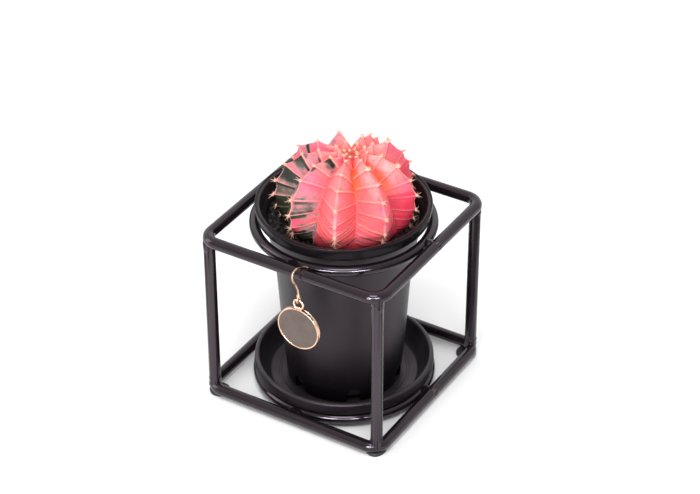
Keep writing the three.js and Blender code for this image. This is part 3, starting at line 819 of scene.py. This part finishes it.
def build_foot(name, node, corner, seed):
    points, faces = revolve(rounded(FOOT_SECTION), 72)
    edge = np.linalg.norm(points[:, :2], axis=1) / FOOT_RADIUS
    wobble = waves(points * (1, 1, 0), FOOT_LUMPS, seed) * edge ** 3
    points[:, :2] += unit(points[:, :2] + 1e-9) * wobble[:, None]
    form = Form().add(points + (*np.multiply(corner, POST_OFFSET - FOOT_INSET), 0), faces)
    piece(name, form, FOOT, [node])


def build_stand():
    build_loop("loop_top", "top_loop", UPPER_PLANE)
    build_loop("loop_bottom", "bottom_loop", LOWER_PLANE)
    build_ring("ring_pot", "pot_ring", UPPER_PLANE)
    build_ring("ring_saucer", "saucer_ring", LOWER_PLANE)
    for i, (place, corner) in enumerate(CORNERS.items()):
        build_post("rod_" + place, "post_" + place, corner, LUMP_SEEDS["posts"] + i)
        build_foot("pad_" + place, "foot_" + place, corner, LUMP_SEEDS["feet"] + i)


# Pot and saucer
def build_saucer():
    form = Form().add(*revolve(rounded(SAUCER_SECTION), POT_SEGMENTS))
    piece("saucer_moulded", form, SAUCER, ["saucer"], sharp=50)


def notch_cutter(azimuth):
    """An arched slot that reaches through the foot of the pot's wall."""
    half = NOTCH_WIDTH / 2
    turn = np.linspace(0, math.pi, 17)
    arch = [(-half, -NOTCH_DROP), (half, -NOTCH_DROP)]
    arch += [(half * math.cos(a), NOTCH_HEIGHT - half + half * math.sin(a)) for a in turn]
    near, far = ([(r, y, z + POT_BASE[0][1]) for y, z in arch] for r in NOTCH_REACH)
    count = len(arch)
    faces = [[i, (i + 1) % count, (i + 1) % count + count, i + count] for i in range(count)]
    faces += [list(range(count))[::-1], list(range(count, 2 * count))]
    return placed((np.array(near + far), faces), matrix=turn_z(azimuth))


def build_pot():
    wall = smooth_curve(POT_WALL, 6)
    section = rounded([*POT_BASE, *wall, *POT_RIM, *(wall[::-1] - (POT_THICKNESS, 0)), *POT_FLOOR], 6)
    item = piece("pot_moulded", Form().add(*revolve(section, POT_SEGMENTS)), POT, ["pot"], sharp=0)
    cutter = Form()
    for i in range(NOTCH_COUNT):
        cutter.add(*notch_cutter(NOTCH_START + 360 * i / NOTCH_COUNT))
    notches = new_object("notches", cutter.mesh("notches"))
    cut = item.modifiers.new("notches", "BOOLEAN")
    cut.object = notches
    cut.operation = "DIFFERENCE"
    cut.solver = "EXACT"
    item.data = bpy.data.meshes.new_from_object(item.evaluated_get(bpy.context.evaluated_depsgraph_get()))
    item.modifiers.clear()
    item.data.shade_smooth()
    item.data.set_sharp_from_angle(angle=math.radians(35))
    bpy.data.objects.remove(notches)


# Cactus
def crest_outline(angle):
    """Radius and height of a crest, and the two parts of its outward normal."""
    turn = np.radians(angle)
    normal = unit(np.stack([np.cos(turn) / CREST_REACH, np.sin(turn) / CREST_RISE], axis=-1))
    radius = CREST_HUB + CREST_REACH * np.cos(turn)
    height = CREST_MIDDLE + CREST_RISE * np.sin(turn)
    return radius, height, normal[..., 0], normal[..., 1]


def soft_groove(across):
    """Nearly 0 on the crest and 1 in the groove, rounded a little at both."""
    low = np.sqrt(across ** 2 + CREST_ROUND ** 2) - CREST_ROUND
    first = 1 + GROOVE_ROUND - math.sqrt(1 + GROOVE_ROUND ** 2)
    high = 1 + GROOVE_ROUND - np.sqrt((1 - low) ** 2 + GROOVE_ROUND ** 2)
    high = GROOVE_START + (high - first) * (1 - GROOVE_START) / (1 - first)
    return np.clip(high, 0, 1) ** GROOVE_POWER


def rib_lines(rib, side):
    """Ridges across one face: [angle at the crest, angle gained towards the groove, strength, start]."""
    draw = np.random.default_rng(SEED + 2 * rib + side)
    areoles = RIBS[rib][1]
    low_rise, high_rise = RISES.get((rib, side), USUAL_RISE)
    lines = []
    for i, angle in enumerate(areoles):
        rise = low_rise + (high_rise - low_rise) * soft_step(angle, *RISE_ANGLES)
        rise = (rise + draw.uniform(-RISE_WANDER, RISE_WANDER)) * (1 - soft_step(angle, *YOUNG_ANGLES))
        lines.append([angle, rise, 1.0, 0.0])
        if i + 1 < len(areoles) and angle < FAINT_BELOW:
            between = angle + (areoles[i + 1] - angle) * draw.uniform(*FAINT_PLACE)
            lines.append([between, rise, draw.uniform(*FAINT_STRENGTH), draw.uniform(*FAINT_START)])
    return lines


def rib_relief(rib, side, angle, across):
    """Down one column of a face: height of the relief, how far a ridge or crease shows, and the band.

    Bands lie between ridges: band 2.5 is half way between the ridges of the areoles 2 and 3.
    """
    areoles = np.array(RIBS[rib][1], float)
    nearest = np.min(np.abs(angle[:, None] - areoles), axis=-1)
    dip = CREST_DIP * soft_step(nearest, 0, DIP_SPAN) * max(1 - across / 0.5, 0) ** 1.5
    ridge, crease, middles = np.zeros_like(angle), np.zeros_like(angle), []
    for at, rise, strength, start in rib_lines(rib, side):
        middle = at + rise * across ** RISE_POWER.get((rib, side), 1)
        show = strength * (1 - RIDGE_FADE * soft_step(across, *RIDGE_END))
        if start:
            show = show * soft_step(across, start - FAINT_EDGE, start + FAINT_EDGE)
        else:
            middles.append(middle)
        ridge = np.maximum(ridge, show * gauss(angle - middle, RIDGE_SPREAD))
        crease = np.maximum(crease, show * gauss(angle - middle + CREASE_DROP, CREASE_SPREAD))
    band = np.interp(-angle, -np.array(middles), np.arange(len(middles)))
    share = band % 1
    swell = BAND_PUFF * np.sin(math.pi * share) + BAND_LIP * (share ** 1.5 - 0.4)
    swell = swell * soft_step(across, 0, 0.15) * (1 - soft_step(across, 0.85, 1.0))
    relief = RIDGE_HEIGHT * ridge - CREASE_DEPTH * crease + swell - dip
    return relief, ridge, crease, band


def body_columns():
    """For each column round the body: azimuth, how far across a face, the rib and its side."""
    columns = []
    for i, rib in enumerate(RIBS):
        after = (i + 1) % len(RIBS)
        width = (RIBS[after][0] - rib[0]) % 360 / 2
        columns += [(rib[0] + width * across, across, i, 1) for across in (*FACE_COLUMNS, 1)]
        columns += [(rib[0] + width * (2 - across), across, after, 0) for across in FACE_COLUMNS[:0:-1]]
    return columns


def bearings(azimuth):
    """The ways outward and sideways at an azimuth, or at many."""
    turn = np.radians(azimuth)
    level = np.zeros_like(turn)
    outward = np.stack([np.cos(turn), np.sin(turn), level], axis=-1)
    return outward, np.stack([-np.sin(turn), np.cos(turn), level], axis=-1)


def body_points(angles, azimuth, across, rib, side):
    """Points of one column, and how far a ridge or a crease shows at each, and its band."""
    groove = rib if side == 1 else (rib - 1) % len(RIBS)
    radius, height, out_x, out_z = crest_outline(angles)
    from_apex = np.clip(APEX_ANGLE - angles, 0, None)
    deep = GROOVE_DEPTH * np.clip(from_apex / CROWN_SPAN, 0, 1) ** CROWN_POWER * soft_groove(across)
    deep *= 1 - BASE_FILL[groove] * (1 - soft_step(angles, *FILL_ANGLES))
    relief, ridge, crease, band = rib_relief(rib, side, angles, across)
    fade = np.clip(from_apex / RELIEF_SPAN, 0, 1)
    out, aside = relief * fade, np.zeros_like(angles)
    for middle, spread, push_out, push_aside in RIBS[rib][2]:
        share = gauss(angles - middle, spread)
        out += share * push_out * (1 - across) ** BULGE_POWER
        aside += share * push_aside * (1 - across)
    reach = np.clip(radius + out_x * (out - deep), 0.3, None)
    sway = GROOVE_SWAY.get(groove, 0) * across * (1 - soft_step(angles, *SWAY_ANGLES))
    outward, sideways = bearings(azimuth + sway)
    points = reach[:, None] * outward + aside[:, None] * sideways
    points[:, 2] = height + out_z * (out - deep * soft_step(angles, *LEVEL_ANGLES))
    points[:, :2] += soft_step(angles, *CROWN_ANGLES)[:, None] * CROWN_SHIFT
    points += (CACTUS_X, CACTUS_Y, 0)
    points += (waves(points, BODY_LUMPS, SEED) * fade)[:, None] * outward
    return points, ridge, crease, band


# Patches on the faces, by rib and side: (band where the patch is full, band where it has faded out, from
# and to across the face, strength). A patch fades upwards where its second band is the smaller.
# Dark green patches are the flesh's own; their strength peaks just under a ridge and fades down the band,
# which adds painted shade.
DARK = {
    (6, 1): [
        (1.02, 1.6, 0, 0.75, 1.05), (1.1, 2, 0.2, 0.95, 0.55), (2.03, 2.5, 0, 0.18, 0.9),
        (3.98, 3.2, 0, 0.85, 0.42), (3.98, 3.8, 0.06, 0.5, 0.8), (4.05, 4.4, 0.04, 0.6, 0.95),
        (4.1, 5.2, 0.05, 0.95, 0.58), (4.98, 4.6, 0.02, 0.75, 0.85), (5.03, 5.4, 0.04, 0.55, 1.25),
        (5.1, 6, 0.4, 0.95, 0.45), (5.98, 5.7, 0.25, 0.7, 0.5), (6.6, 7, 0.06, 0.75, 1.15),
        (7.03, 14, 0.04, 0.97, 1.3), (6.1, 14, 0.4, 1, 0.52),
    ],
    (7, 0): [(6, 14, 0.88, 1, 0.45)],
    (6, 0): [(3, 4.6, 0, 1, 0.6), (4.05, 14, 0, 1, 1.2)],
    (5, 1): [
        (2.05, 2.3, 0.3, 0.7, 0.8), (2.05, 3, 0.1, 1, 0.36), (2.97, 2.5, 0, 0.25, 0.75),
        (3.03, 3.35, 0, 1, 1.1), (3.04, 3.65, 0, 0.12, 1.1), (3.04, 3.9, 0, 0.5, 0.85),
        (3.1, 4.3, 0.3, 1, 0.46), (4.02, 4.35, 0.02, 1, 1.15), (4.1, 5.2, 0.05, 1, 1.05),
        (4.4, 5.6, 0.14, 1, 0.6), (5.02, 5.4, 0.03, 1, 1.1), (5.1, 6.4, 0.14, 1, 0.75),
        (6.02, 17, 0, 1, 1.3),
    ],
    (5, 0): [(3.3, 16, 0, 1, 1.2)],
    (4, 1): [(2.44, 2.7, 0, 1, 1.1), (2.5, 3.3, 0, 1, 0.4), (4.4, 14, 0, 1, 1.1)],
    (4, 0): [(4.03, 14, 0.25, 1, 0.8)],
    (3, 1): [(1.5, 2.4, 0.42, 1, 0.5), (4.03, 6, 0.8, 1, 0.7), (6.1, 14, 0.6, 1, 0.9)],
    (3, 0): [(2.1, 2.6, 0.1, 1, 0.9), (4.1, 4.8, 0.2, 1, 0.7)],
}
ORANGE = {
    (7, 1): [(0.3, 5.2, 0.7, 1, 1.1), (5.2, 8, 0.94, 1, 0.4)],
    (8, 0): [(0.3, 4.6, 0.62, 1, 1.1), (4.6, 7.5, 0.9, 1, 0.5)],
    (8, 1): [(1.2, 7, 0.5, 1, 1.1)],
    (0, 0): [(1, 5.6, 0.62, 1, 1.1)],
    (0, 1): [(0.4, 3, 0.6, 1, 0.8)],
    (1, 0): [(0.4, 3, 0.6, 1, 0.8)],
    (2, 0): [(0.4, 3, 0.6, 1, 0.6)],
    (2, 1): [(0.4, 3, 0.6, 1, 0.8)],
    (3, 0): [(0.4, 2, 0.6, 1, 0.8)],
}
ROSY = {
    (6, 1): [
        (2.35, 5.05, 0, 0.85, 0.8), (5.37, 6.63, 0, 0.4, 1), (6.05, 6.95, 0, 0.5, 0.8),
        (0.1, 1, 0.3, 1, 0.9),
    ],
    (4, 1): [(1.48, 6.52, 0, 0.95, 0.9), (1, 2.2, 0.2, 1, 0.9)],
    (8, 0): [(4.17, 6.24, 0, 0.25, 0.9)],
    (8, 1): [(3.89, 9.11, 0, 0.4, 0.8)],
    (0, 0): [(3.76, 6.64, 0, 0.6, 0.8)],
    (7, 0): [(4.2, 7.8, 0, 0.25, 0.6)],
    (7, 1): [(4.2, 7.8, 0, 0.25, 0.6)],
    (1, 0): [(2.85, 9.15, 0, 0.5, 0.7)],
    (5, 1): [
        (2, 3, 0.2, 1, 0.9), (3.2, 4.2, 0.3, 1, 0.8), (4.5, 5.2, 0, 0.14, 0.6),
        (5.3, 6.1, 0, 0.14, 0.9),
    ],
    (3, 1): [(1.6, 4, 0, 0.6, 0.6)],
}
CRIMSON = {
    (0, 0): [(4.6, 14, 0, 1, 1)],
    (8, 1): [(6.2, 14, 0.2, 1, 0.7)],
    (8, 0): [(6.4, 14, 0.3, 1, 0.5), (0, 1.4, 0.6, 1, 0.6)],
    (7, 1): [(6.6, 14, 0.4, 1, 0.4), (0, 1.8, 0.6, 1, 0.6)],
    (7, 0): [(0.6, 3.4, 0.45, 1, 0.55)],
    (6, 1): [(1.6, 3.4, 0.8, 1, 0.6), (6.05, 6.5, 0, 0.5, 0.8), (0, 1, 0.3, 1, 0.5)],
    (1, 0): [(4.6, 14, 0, 1, 0.8)],
}
# Painted highlights on upper faces, where they catch the light from above.
PAINTED_HIGHLIGHTS = {
    (0, 0): [(1.2, 4.6, 0, 0.75, 0.85)],
    (0, 1): [(1.2, 3.6, 0, 0.8, 0.9)],
    (8, 0): [(2.2, 4.4, 0, 0.45, 0.6)],
    (8, 1): [(0.8, 2.2, 0, 1, 0.6)],
    (7, 1): [(1.8, 3.6, 0.1, 0.6, 0.5)],
    (1, 0): [(0.8, 4.2, 0, 0.7, 0.8)],
    (6, 1): [(0.3, 0.9, 0, 0.4, 0.8), (2.5, 3.2, 0, 0.6, 0.6)],
    (5, 1): [(0.2, 2, 0, 0.5, 1.2)],
    (4, 1): [(0.6, 1.8, 0, 0.5, 1)],
    (3, 1): [(0.6, 1.8, 0, 0.6, 0.7)],
    (2, 0): [(0.6, 2.4, 0, 0.5, 0.8)],
}
# The share of its way over which a patch keeps its strength, and each kind with its edges' softness.
PATCH_HOLD = 0.4
PATCHES = {
    "dark": (DARK, 0.16),
    "orange": (ORANGE, 0.35),
    "rosy": (ROSY, 0.35),
    "crimson": (CRIMSON, 0.4),
    "painted_highlight": (PAINTED_HIGHLIGHTS, 0.4),
}


def patch_strengths(angles, band, azimuth, across, rib, side):
    """How strongly each kind of patch colours one column, before the paint breaks up its edges."""
    flat = np.stack([np.full_like(angles, azimuth * 0.4), angles * 0.6, np.zeros_like(angles)], axis=1)
    reach = across + waves(flat, PATCH_LUMPS, SEED + 8)
    strengths = {}
    for name, (patches, softness) in PATCHES.items():
        half, edge = softness / 2, 0.05 + softness / 4
        total = np.zeros_like(angles)
        for full, gone, near, far, strength in patches.get((rib, side), ()):
            span = abs(gone - full)
            beyond = (band - full) * np.sign(gone - full)
            share = soft_step(beyond, -edge, edge) * (1 - soft_step(beyond, PATCH_HOLD * span, span))
            if near > 0:
                share = share * soft_step(reach, near - half, near + half)
            if far < 1:
                share = share * (1 - soft_step(reach, far - half, far + half))
            total = np.maximum(total, strength * share)
        strengths[name] = total
    return strengths


def build_flesh():
    angles = np.linspace(BODY_LOW, BODY_HIGH, BODY_ROWS)
    grid, columns = [], []
    for azimuth, across, rib, side in body_columns():
        points, ridge, crease, band = body_points(angles, azimuth, across, rib, side)
        grid.append(points)
        show = CREST_LINE_SHOW - CREST_LINE_LOSS * soft_step(angles, *CREST_LINE_ANGLES)
        crest_line = gauss(across, CREST_LINE_SPREAD) * show
        columns.append({
            "across": np.full_like(angles, across),
            "rise": soft_step(angles, BODY_LOW, APEX_ANGLE),
            "line": np.maximum(ridge, crest_line),
            "crease": crease,
            "band": band % 1,
            **patch_strengths(angles, band, azimuth, across, rib, side),
        })
    rings = np.array(grid).transpose(1, 0, 2)
    points, faces = skin(rings, start=rings[0].mean(axis=0), end=rings[-1].mean(axis=0))
    values = {
        name: np.append(np.array([column[name] for column in columns]).T.ravel(), [0, 0])
        for name in columns[0]
    }
    values["rise"][-1] = 1
    piece("cactus_body", Form(*values).add(points, faces, **values), FLESH, ["cactus"], sharp=0)


def crest_place(rib, angle):
    """A point on a crest, with the ways out, aside and down along the crest."""
    azimuth = RIBS[rib][0]
    here, above = body_points(np.array([angle, angle + 1.0]), azimuth, 0.0, rib, 1)[0]
    aside = bearings(azimuth)[1]
    down = unit(here - above)
    return here, unit(np.cross(down, aside)), aside, down


def fibre(start, direction, bend, length, radius, segments, sides):
    """A tapering hair or spine that bends as it goes."""
    share = np.linspace(0, 1, segments + 1)[:, None]
    path = start + direction * length * share + bend * length * share ** 2
    points, faces = tube(path, radius * (1 - SPINE_TAPER * share[:, 0]), sides)
    return points, faces, np.append(np.repeat(share[:, 0], sides), [0, 1])


def add_wool(form, here, out, aside, down, size):
    pad = lumpy(revolve(rounded(WOOL_PAD, 4), 12), WOOL_LUMPS, int(rng.integers(1 << 30)))
    form.add(*placed(pad, here, np.stack([aside, down * WOOL_STRETCH, out], axis=1) * size))
    for _ in range(WOOL_HAIRS):
        turn = rng.uniform(0, 2 * math.pi)
        tilt = rng.uniform(*WOOL_TILT)
        flat = aside * math.cos(turn) + down * math.sin(turn)
        direction = out * math.cos(tilt) + flat * math.sin(tilt)
        start = here + (flat * 0.45 * math.sin(tilt) + out * 0.1) * size
        length = rng.uniform(*WOOL_LENGTH) * size
        bend = flat * rng.uniform(*WOOL_BEND)
        form.add(*fibre(start, direction, bend, length, WOOL_RADIUS, 2, 3)[:2])


def add_spines(form, here, out, aside, down, rib, angle):
    """A star of spines, which are shorter and browner towards the crown."""
    count = int(rng.integers(*SPINE_COUNT))
    brown = BROWN_SHARE if rib in BROWN_RIBS and angle < BROWN_BELOW else 0
    for i in range(count):
        turn = math.pi * (i + 0.5) / count + rng.normal(0, 0.14)
        flat = aside * math.cos(turn) + down * (math.sin(turn) * 1.1 - 0.35)
        direction = unit(flat + out * rng.uniform(*SPINE_LIFT))
        length = rng.uniform(*SPINE_LENGTH) * (1 - SHORTENING * soft_step(angle, *SHORT_ANGLES))
        bend = -out * rng.uniform(0, 0.2) + down * rng.uniform(-0.1, 0.15)
        young = max(brown, YOUNG_SHARE * soft_step(angle, *YOUNG_SPINES)) * rng.uniform(0.3, 1)
        points, faces, along = fibre(here, direction, bend, length, SPINE_RADIUS, 5, 5)
        form.add(points, faces, along=along, young=young)


def add_tuft(form, here, out, down):
    for _ in range(TUFT_COUNT):
        direction = unit(out + (0, 0, 0.6) + rng.normal(0, 0.6, 3))
        length = rng.uniform(*TUFT_LENGTH)
        points, faces, along = fibre(here, direction, down * 0.1, length, TUFT_RADIUS, 4, 5)
        form.add(points, faces, along=along, young=rng.uniform(0, 0.9))


def build_areoles():
    wool, spines = Form(), Form("along", "young")
    small, large = AREOLE_SIZE
    for rib, (_, angles, _) in enumerate(RIBS):
        for angle in angles:
            if angle < LOWEST_AREOLE:
                continue
            here, out, aside, down = crest_place(rib, angle)
            size = WOOLLY.get((rib, angle), small + (large - small) * soft_step(angle, *YOUNG_ANGLES))
            add_wool(wool, here, out, aside, down, size)
            add_spines(spines, here, out, aside, down, rib, angle)
            if (rib, angle) == TUFTED:
                add_tuft(spines, here, out, down)
    piece("areole_wool", wool, WOOL, sharp=0)
    piece("spines", spines, SPINE, sharp=0)


# Soil
def build_soil():
    bed = SOIL_LEVEL - SOIL_SINK
    wall = smooth_curve(POT_WALL[:-1], 4) - (SOIL_GAP, 0)
    top = [[r, bed] for r in np.linspace(SOIL_RADIUS, 8, 24)]
    points, faces = revolve([*SOIL_BASE, *wall, *top, [0, bed]], 160)
    on_top = points[:, 2] > bed - 0.2
    points[:, 2] += on_top * (waves(points, SOIL_LUMPS, LUMP_SEEDS["soil"]) - 0.2)
    piece("soil_bed", Form("tone").add(points, faces, tone=0.25), SOIL, ["soil"], sharp=0)


def grain_shape(seed):
    """An angular pellet: a twice-cut icosahedron pulled about by noise."""
    made = bmesh.new()
    bmesh.ops.create_icosphere(made, subdivisions=2, radius=1)
    points = np.array([v.co for v in made.verts])
    faces = [[v.index for v in f.verts] for f in made.faces]
    made.free()
    points = points * np.random.default_rng(seed).uniform(0.65, 1.2, 3)
    return points * (1 + waves(points, GRAIN_LUMPS, seed))[:, None], faces


def build_grains():
    form = Form("tone")
    shapes = [grain_shape(LUMP_SEEDS["grains"] + i) for i in range(GRAIN_SHAPES)]
    for _ in range(GRAIN_COUNT):
        turn = rng.uniform(0, 360)
        reach = SOIL_RADIUS - GRAIN_EDGE - GRAIN_BELT * rng.uniform(0, 1) ** GRAIN_CROWDING
        size = rng.uniform(*GRAIN_SIZE)
        shape = shapes[int(rng.integers(len(shapes)))]
        spin = turn_z(rng.uniform(0, 360)) @ np.roll(turn_z(rng.uniform(0, 360)), 1, axis=(0, 1))
        middle = turn_z(turn) @ (reach, 0, SOIL_LEVEL + rng.uniform(*GRAIN_LEVEL))
        form.add(*placed(shape, middle, spin * size), tone=rng.uniform(0, 1) ** GRAIN_DARKNESS)
    piece("soil_grains", form, SOIL, sharp=30)


# Tag and hook
FACING = np.array([[1, 0, 0], [0, 0, -1], [0, 1, 0]])


def build_hook():
    x, y, z = TAG_MIDDLE
    eye = np.array([x, y, z + BAIL_HEIGHT + BAIL_RADIUS])
    route = [eye + point for point in HOOK_SHANK]
    route += [np.array([x + dx, py, UPPER_PLANE + dz]) for dx, py, dz in HOOK_TIP]
    curve = smooth_curve(route, 8)
    curve = np.vstack([curve, curve[-1] + (curve[-1] - curve[-2]) * HOOK_TIP_REACH])
    radii = np.full(len(curve), HOOK_WIRE)
    radii[-1] *= HOOK_TIP_TAPER
    form = Form().add(*tube(curve, radii, 16))
    ring = eye + circle(EYE_RADIUS, 40, (0, 0, 1), (0, 1, 0))
    form.add(*tube(ring, HOOK_WIRE, 14, closed=True))
    piece("hook_wire", form, HOOK_GOLD, ["hook"], sharp=0)
    turns = np.linspace(0, WINDING_TURNS, 80)
    wind = WINDING_RADIUS * bearings(turns * 360)[0]
    wind[:, 2] = WINDING_START + turns * WINDING_PITCH
    piece("hook_winding", Form().add(*tube(wind + eye, WINDING_WIRE, 10)), HOOK_GOLD, sharp=0)


def build_tag():
    half, inner = TAG_HALF_THICKNESS, TAG_RADIUS - TAG_RIM
    field = half - FIELD_DEPTH
    edge = [
        [inner, field, 0.05],
        [inner + 0.05, half - 0.05, 0.12],
        [inner + TAG_RIM / 2, half, 0.2],
        [TAG_RADIUS, half - 0.06, 0.2],
        [TAG_RADIUS - 0.28, half - 0.5, 0.25],
    ]
    section = [[0, -field], *[[r, -z, bend] for r, z, bend in edge], *edge[::-1], [0, field]]
    form = Form().add(*placed(revolve(rounded(section), TAG_SEGMENTS), TAG_MIDDLE, FACING))
    bail = circle(BAIL_RADIUS, 56, (0, 0, 1)) + TAG_MIDDLE + (0, 0, BAIL_HEIGHT)
    form.add(*tube(bail, BAIL_WIRE, 16, closed=True))
    lug = placed(revolve(rounded(LUG), 24), (0, 0, LUG_HEIGHT), np.diag([1, LUG_FLATNESS, 1]))
    form.add(*placed(lug, TAG_MIDDLE))
    piece("tag_medal", form, GOLD, ["tag_disc"], "tag", sharp=45)
    rim = inner - ENAMEL_GAP
    plate = rounded([[0, -0.1], [rim, -0.1, 0.02], [rim, 0.2, 0.12], [0, 0.27]])
    plate = placed(revolve(plate, TAG_SEGMENTS), (0, 0, field))
    for side, facing in (("front", 1), ("back", -1)):
        form = Form().add(*placed(plate, TAG_MIDDLE, FACING @ np.diag([1, facing, facing])))
        piece("enamel_" + side, form, ENAMEL, ["tag_enamel_" + side], "tag", sharp=45)


# Camera, light and floor, in metres
BRIGHT_SIDE = (-0.50, 0.83, 0.25)
SKY_STRENGTH = (0.35, 1.25)
# Area lights: place, height that they aim at, width, height and power.
LIGHTS = {
    "overhead": ((0.30, -0.50, 1.15), 0.05, 0.5, 0.4, 7),
    "left": ((-1.0, -0.5, 0.5), 0.06, 0.5, 0.9, 4),
    "key": ((0.25, -1.26, 0.25), 0.08, 0.34, 0.14, 8.5),
    "glint_wide": ((0.64, -1.07, 0.60), 0.06, 1.4, 0.13, 16),
    "glint_left": ((0.30, -1.21, 0.60), 0.06, 0.34, 0.13, 10),
    "glint_right": ((0.93, -0.84, 0.60), 0.06, 0.34, 0.13, 10),
}
# The glints are bluish, and only glossy surfaces show them.
GLINT_TONE = (0.86, 0.90, 1.0)
FLOOR_HALF = 6


def face(item, way):
    """Turns a camera or light, which looks along its own -Z, to look along way."""
    item.rotation_mode = "QUATERNION"
    item.rotation_quaternion = way.to_track_quat("-Z", "Y")


def camera():
    turn, rise = math.radians(CAMERA_AZIMUTH), math.radians(CAMERA_ELEVATION)
    back = Vector((math.sin(turn) * math.cos(rise), -math.cos(turn) * math.cos(rise), math.sin(rise)))
    data = bpy.data.cameras.new("photo_camera")
    data.sensor_width = CAMERA_SENSOR
    data.lens = CAMERA_LENS
    data.shift_x, data.shift_y = CAMERA_SHIFT
    item = new_object("photo_camera", data)
    item.location = Vector(CAMERA_AIM) + back * CAMERA_DISTANCE
    face(item, -back)
    bpy.context.scene.camera = item


def lights():
    for name, (place, aim, width, height, power) in LIGHTS.items():
        light = bpy.data.lights.new(name, "AREA")
        light.shape = "RECTANGLE"
        light.size, light.size_y = width, height
        light.energy = power
        item = new_object(name, light)
        item.location = place
        face(item, Vector((0, 0, aim)) - Vector(place))
        if name.startswith("glint"):
            item.visible_diffuse = False
            light.color = GLINT_TONE


def sky():
    """White all round, and brighter on the side behind the plant."""
    world = bpy.data.worlds.new("studio")
    world.use_nodes = True
    nodes = Nodes(world.node_tree, "Generated")
    inputs = {0: nodes.place, 1: BRIGHT_SIDE}
    along = nodes.node("ShaderNodeVectorMath", inputs, operation="DOT_PRODUCT")["Value"]
    background = nodes.tree.nodes["Background"].inputs
    nodes.join(nodes.spread(along, -1, 1, *SKY_STRENGTH), background["Strength"])
    nodes.join((1, 1, 1, 1), background["Color"])
    bpy.context.scene.world = world


def build_floor():
    mesh = bpy.data.meshes.new("floor")
    corners = [(x * FLOOR_HALF, y * FLOOR_HALF, 0) for x, y in CORNERS.values()]
    mesh.from_pydata(corners, [], [(0, 1, 2, 3)])
    mesh.materials.append(plain_paint("floor_white", (400, 2, 0.94, 0.96), Roughness=0.9))
    floor = new_object("floor", mesh)


camera()
sky()
lights()
build_floor()
bpy.context.scene.view_settings.view_transform = "Standard"
build_stand()
build_saucer()
build_pot()
build_soil()
build_grains()
build_flesh()
build_areoles()
build_hook()
build_tag()
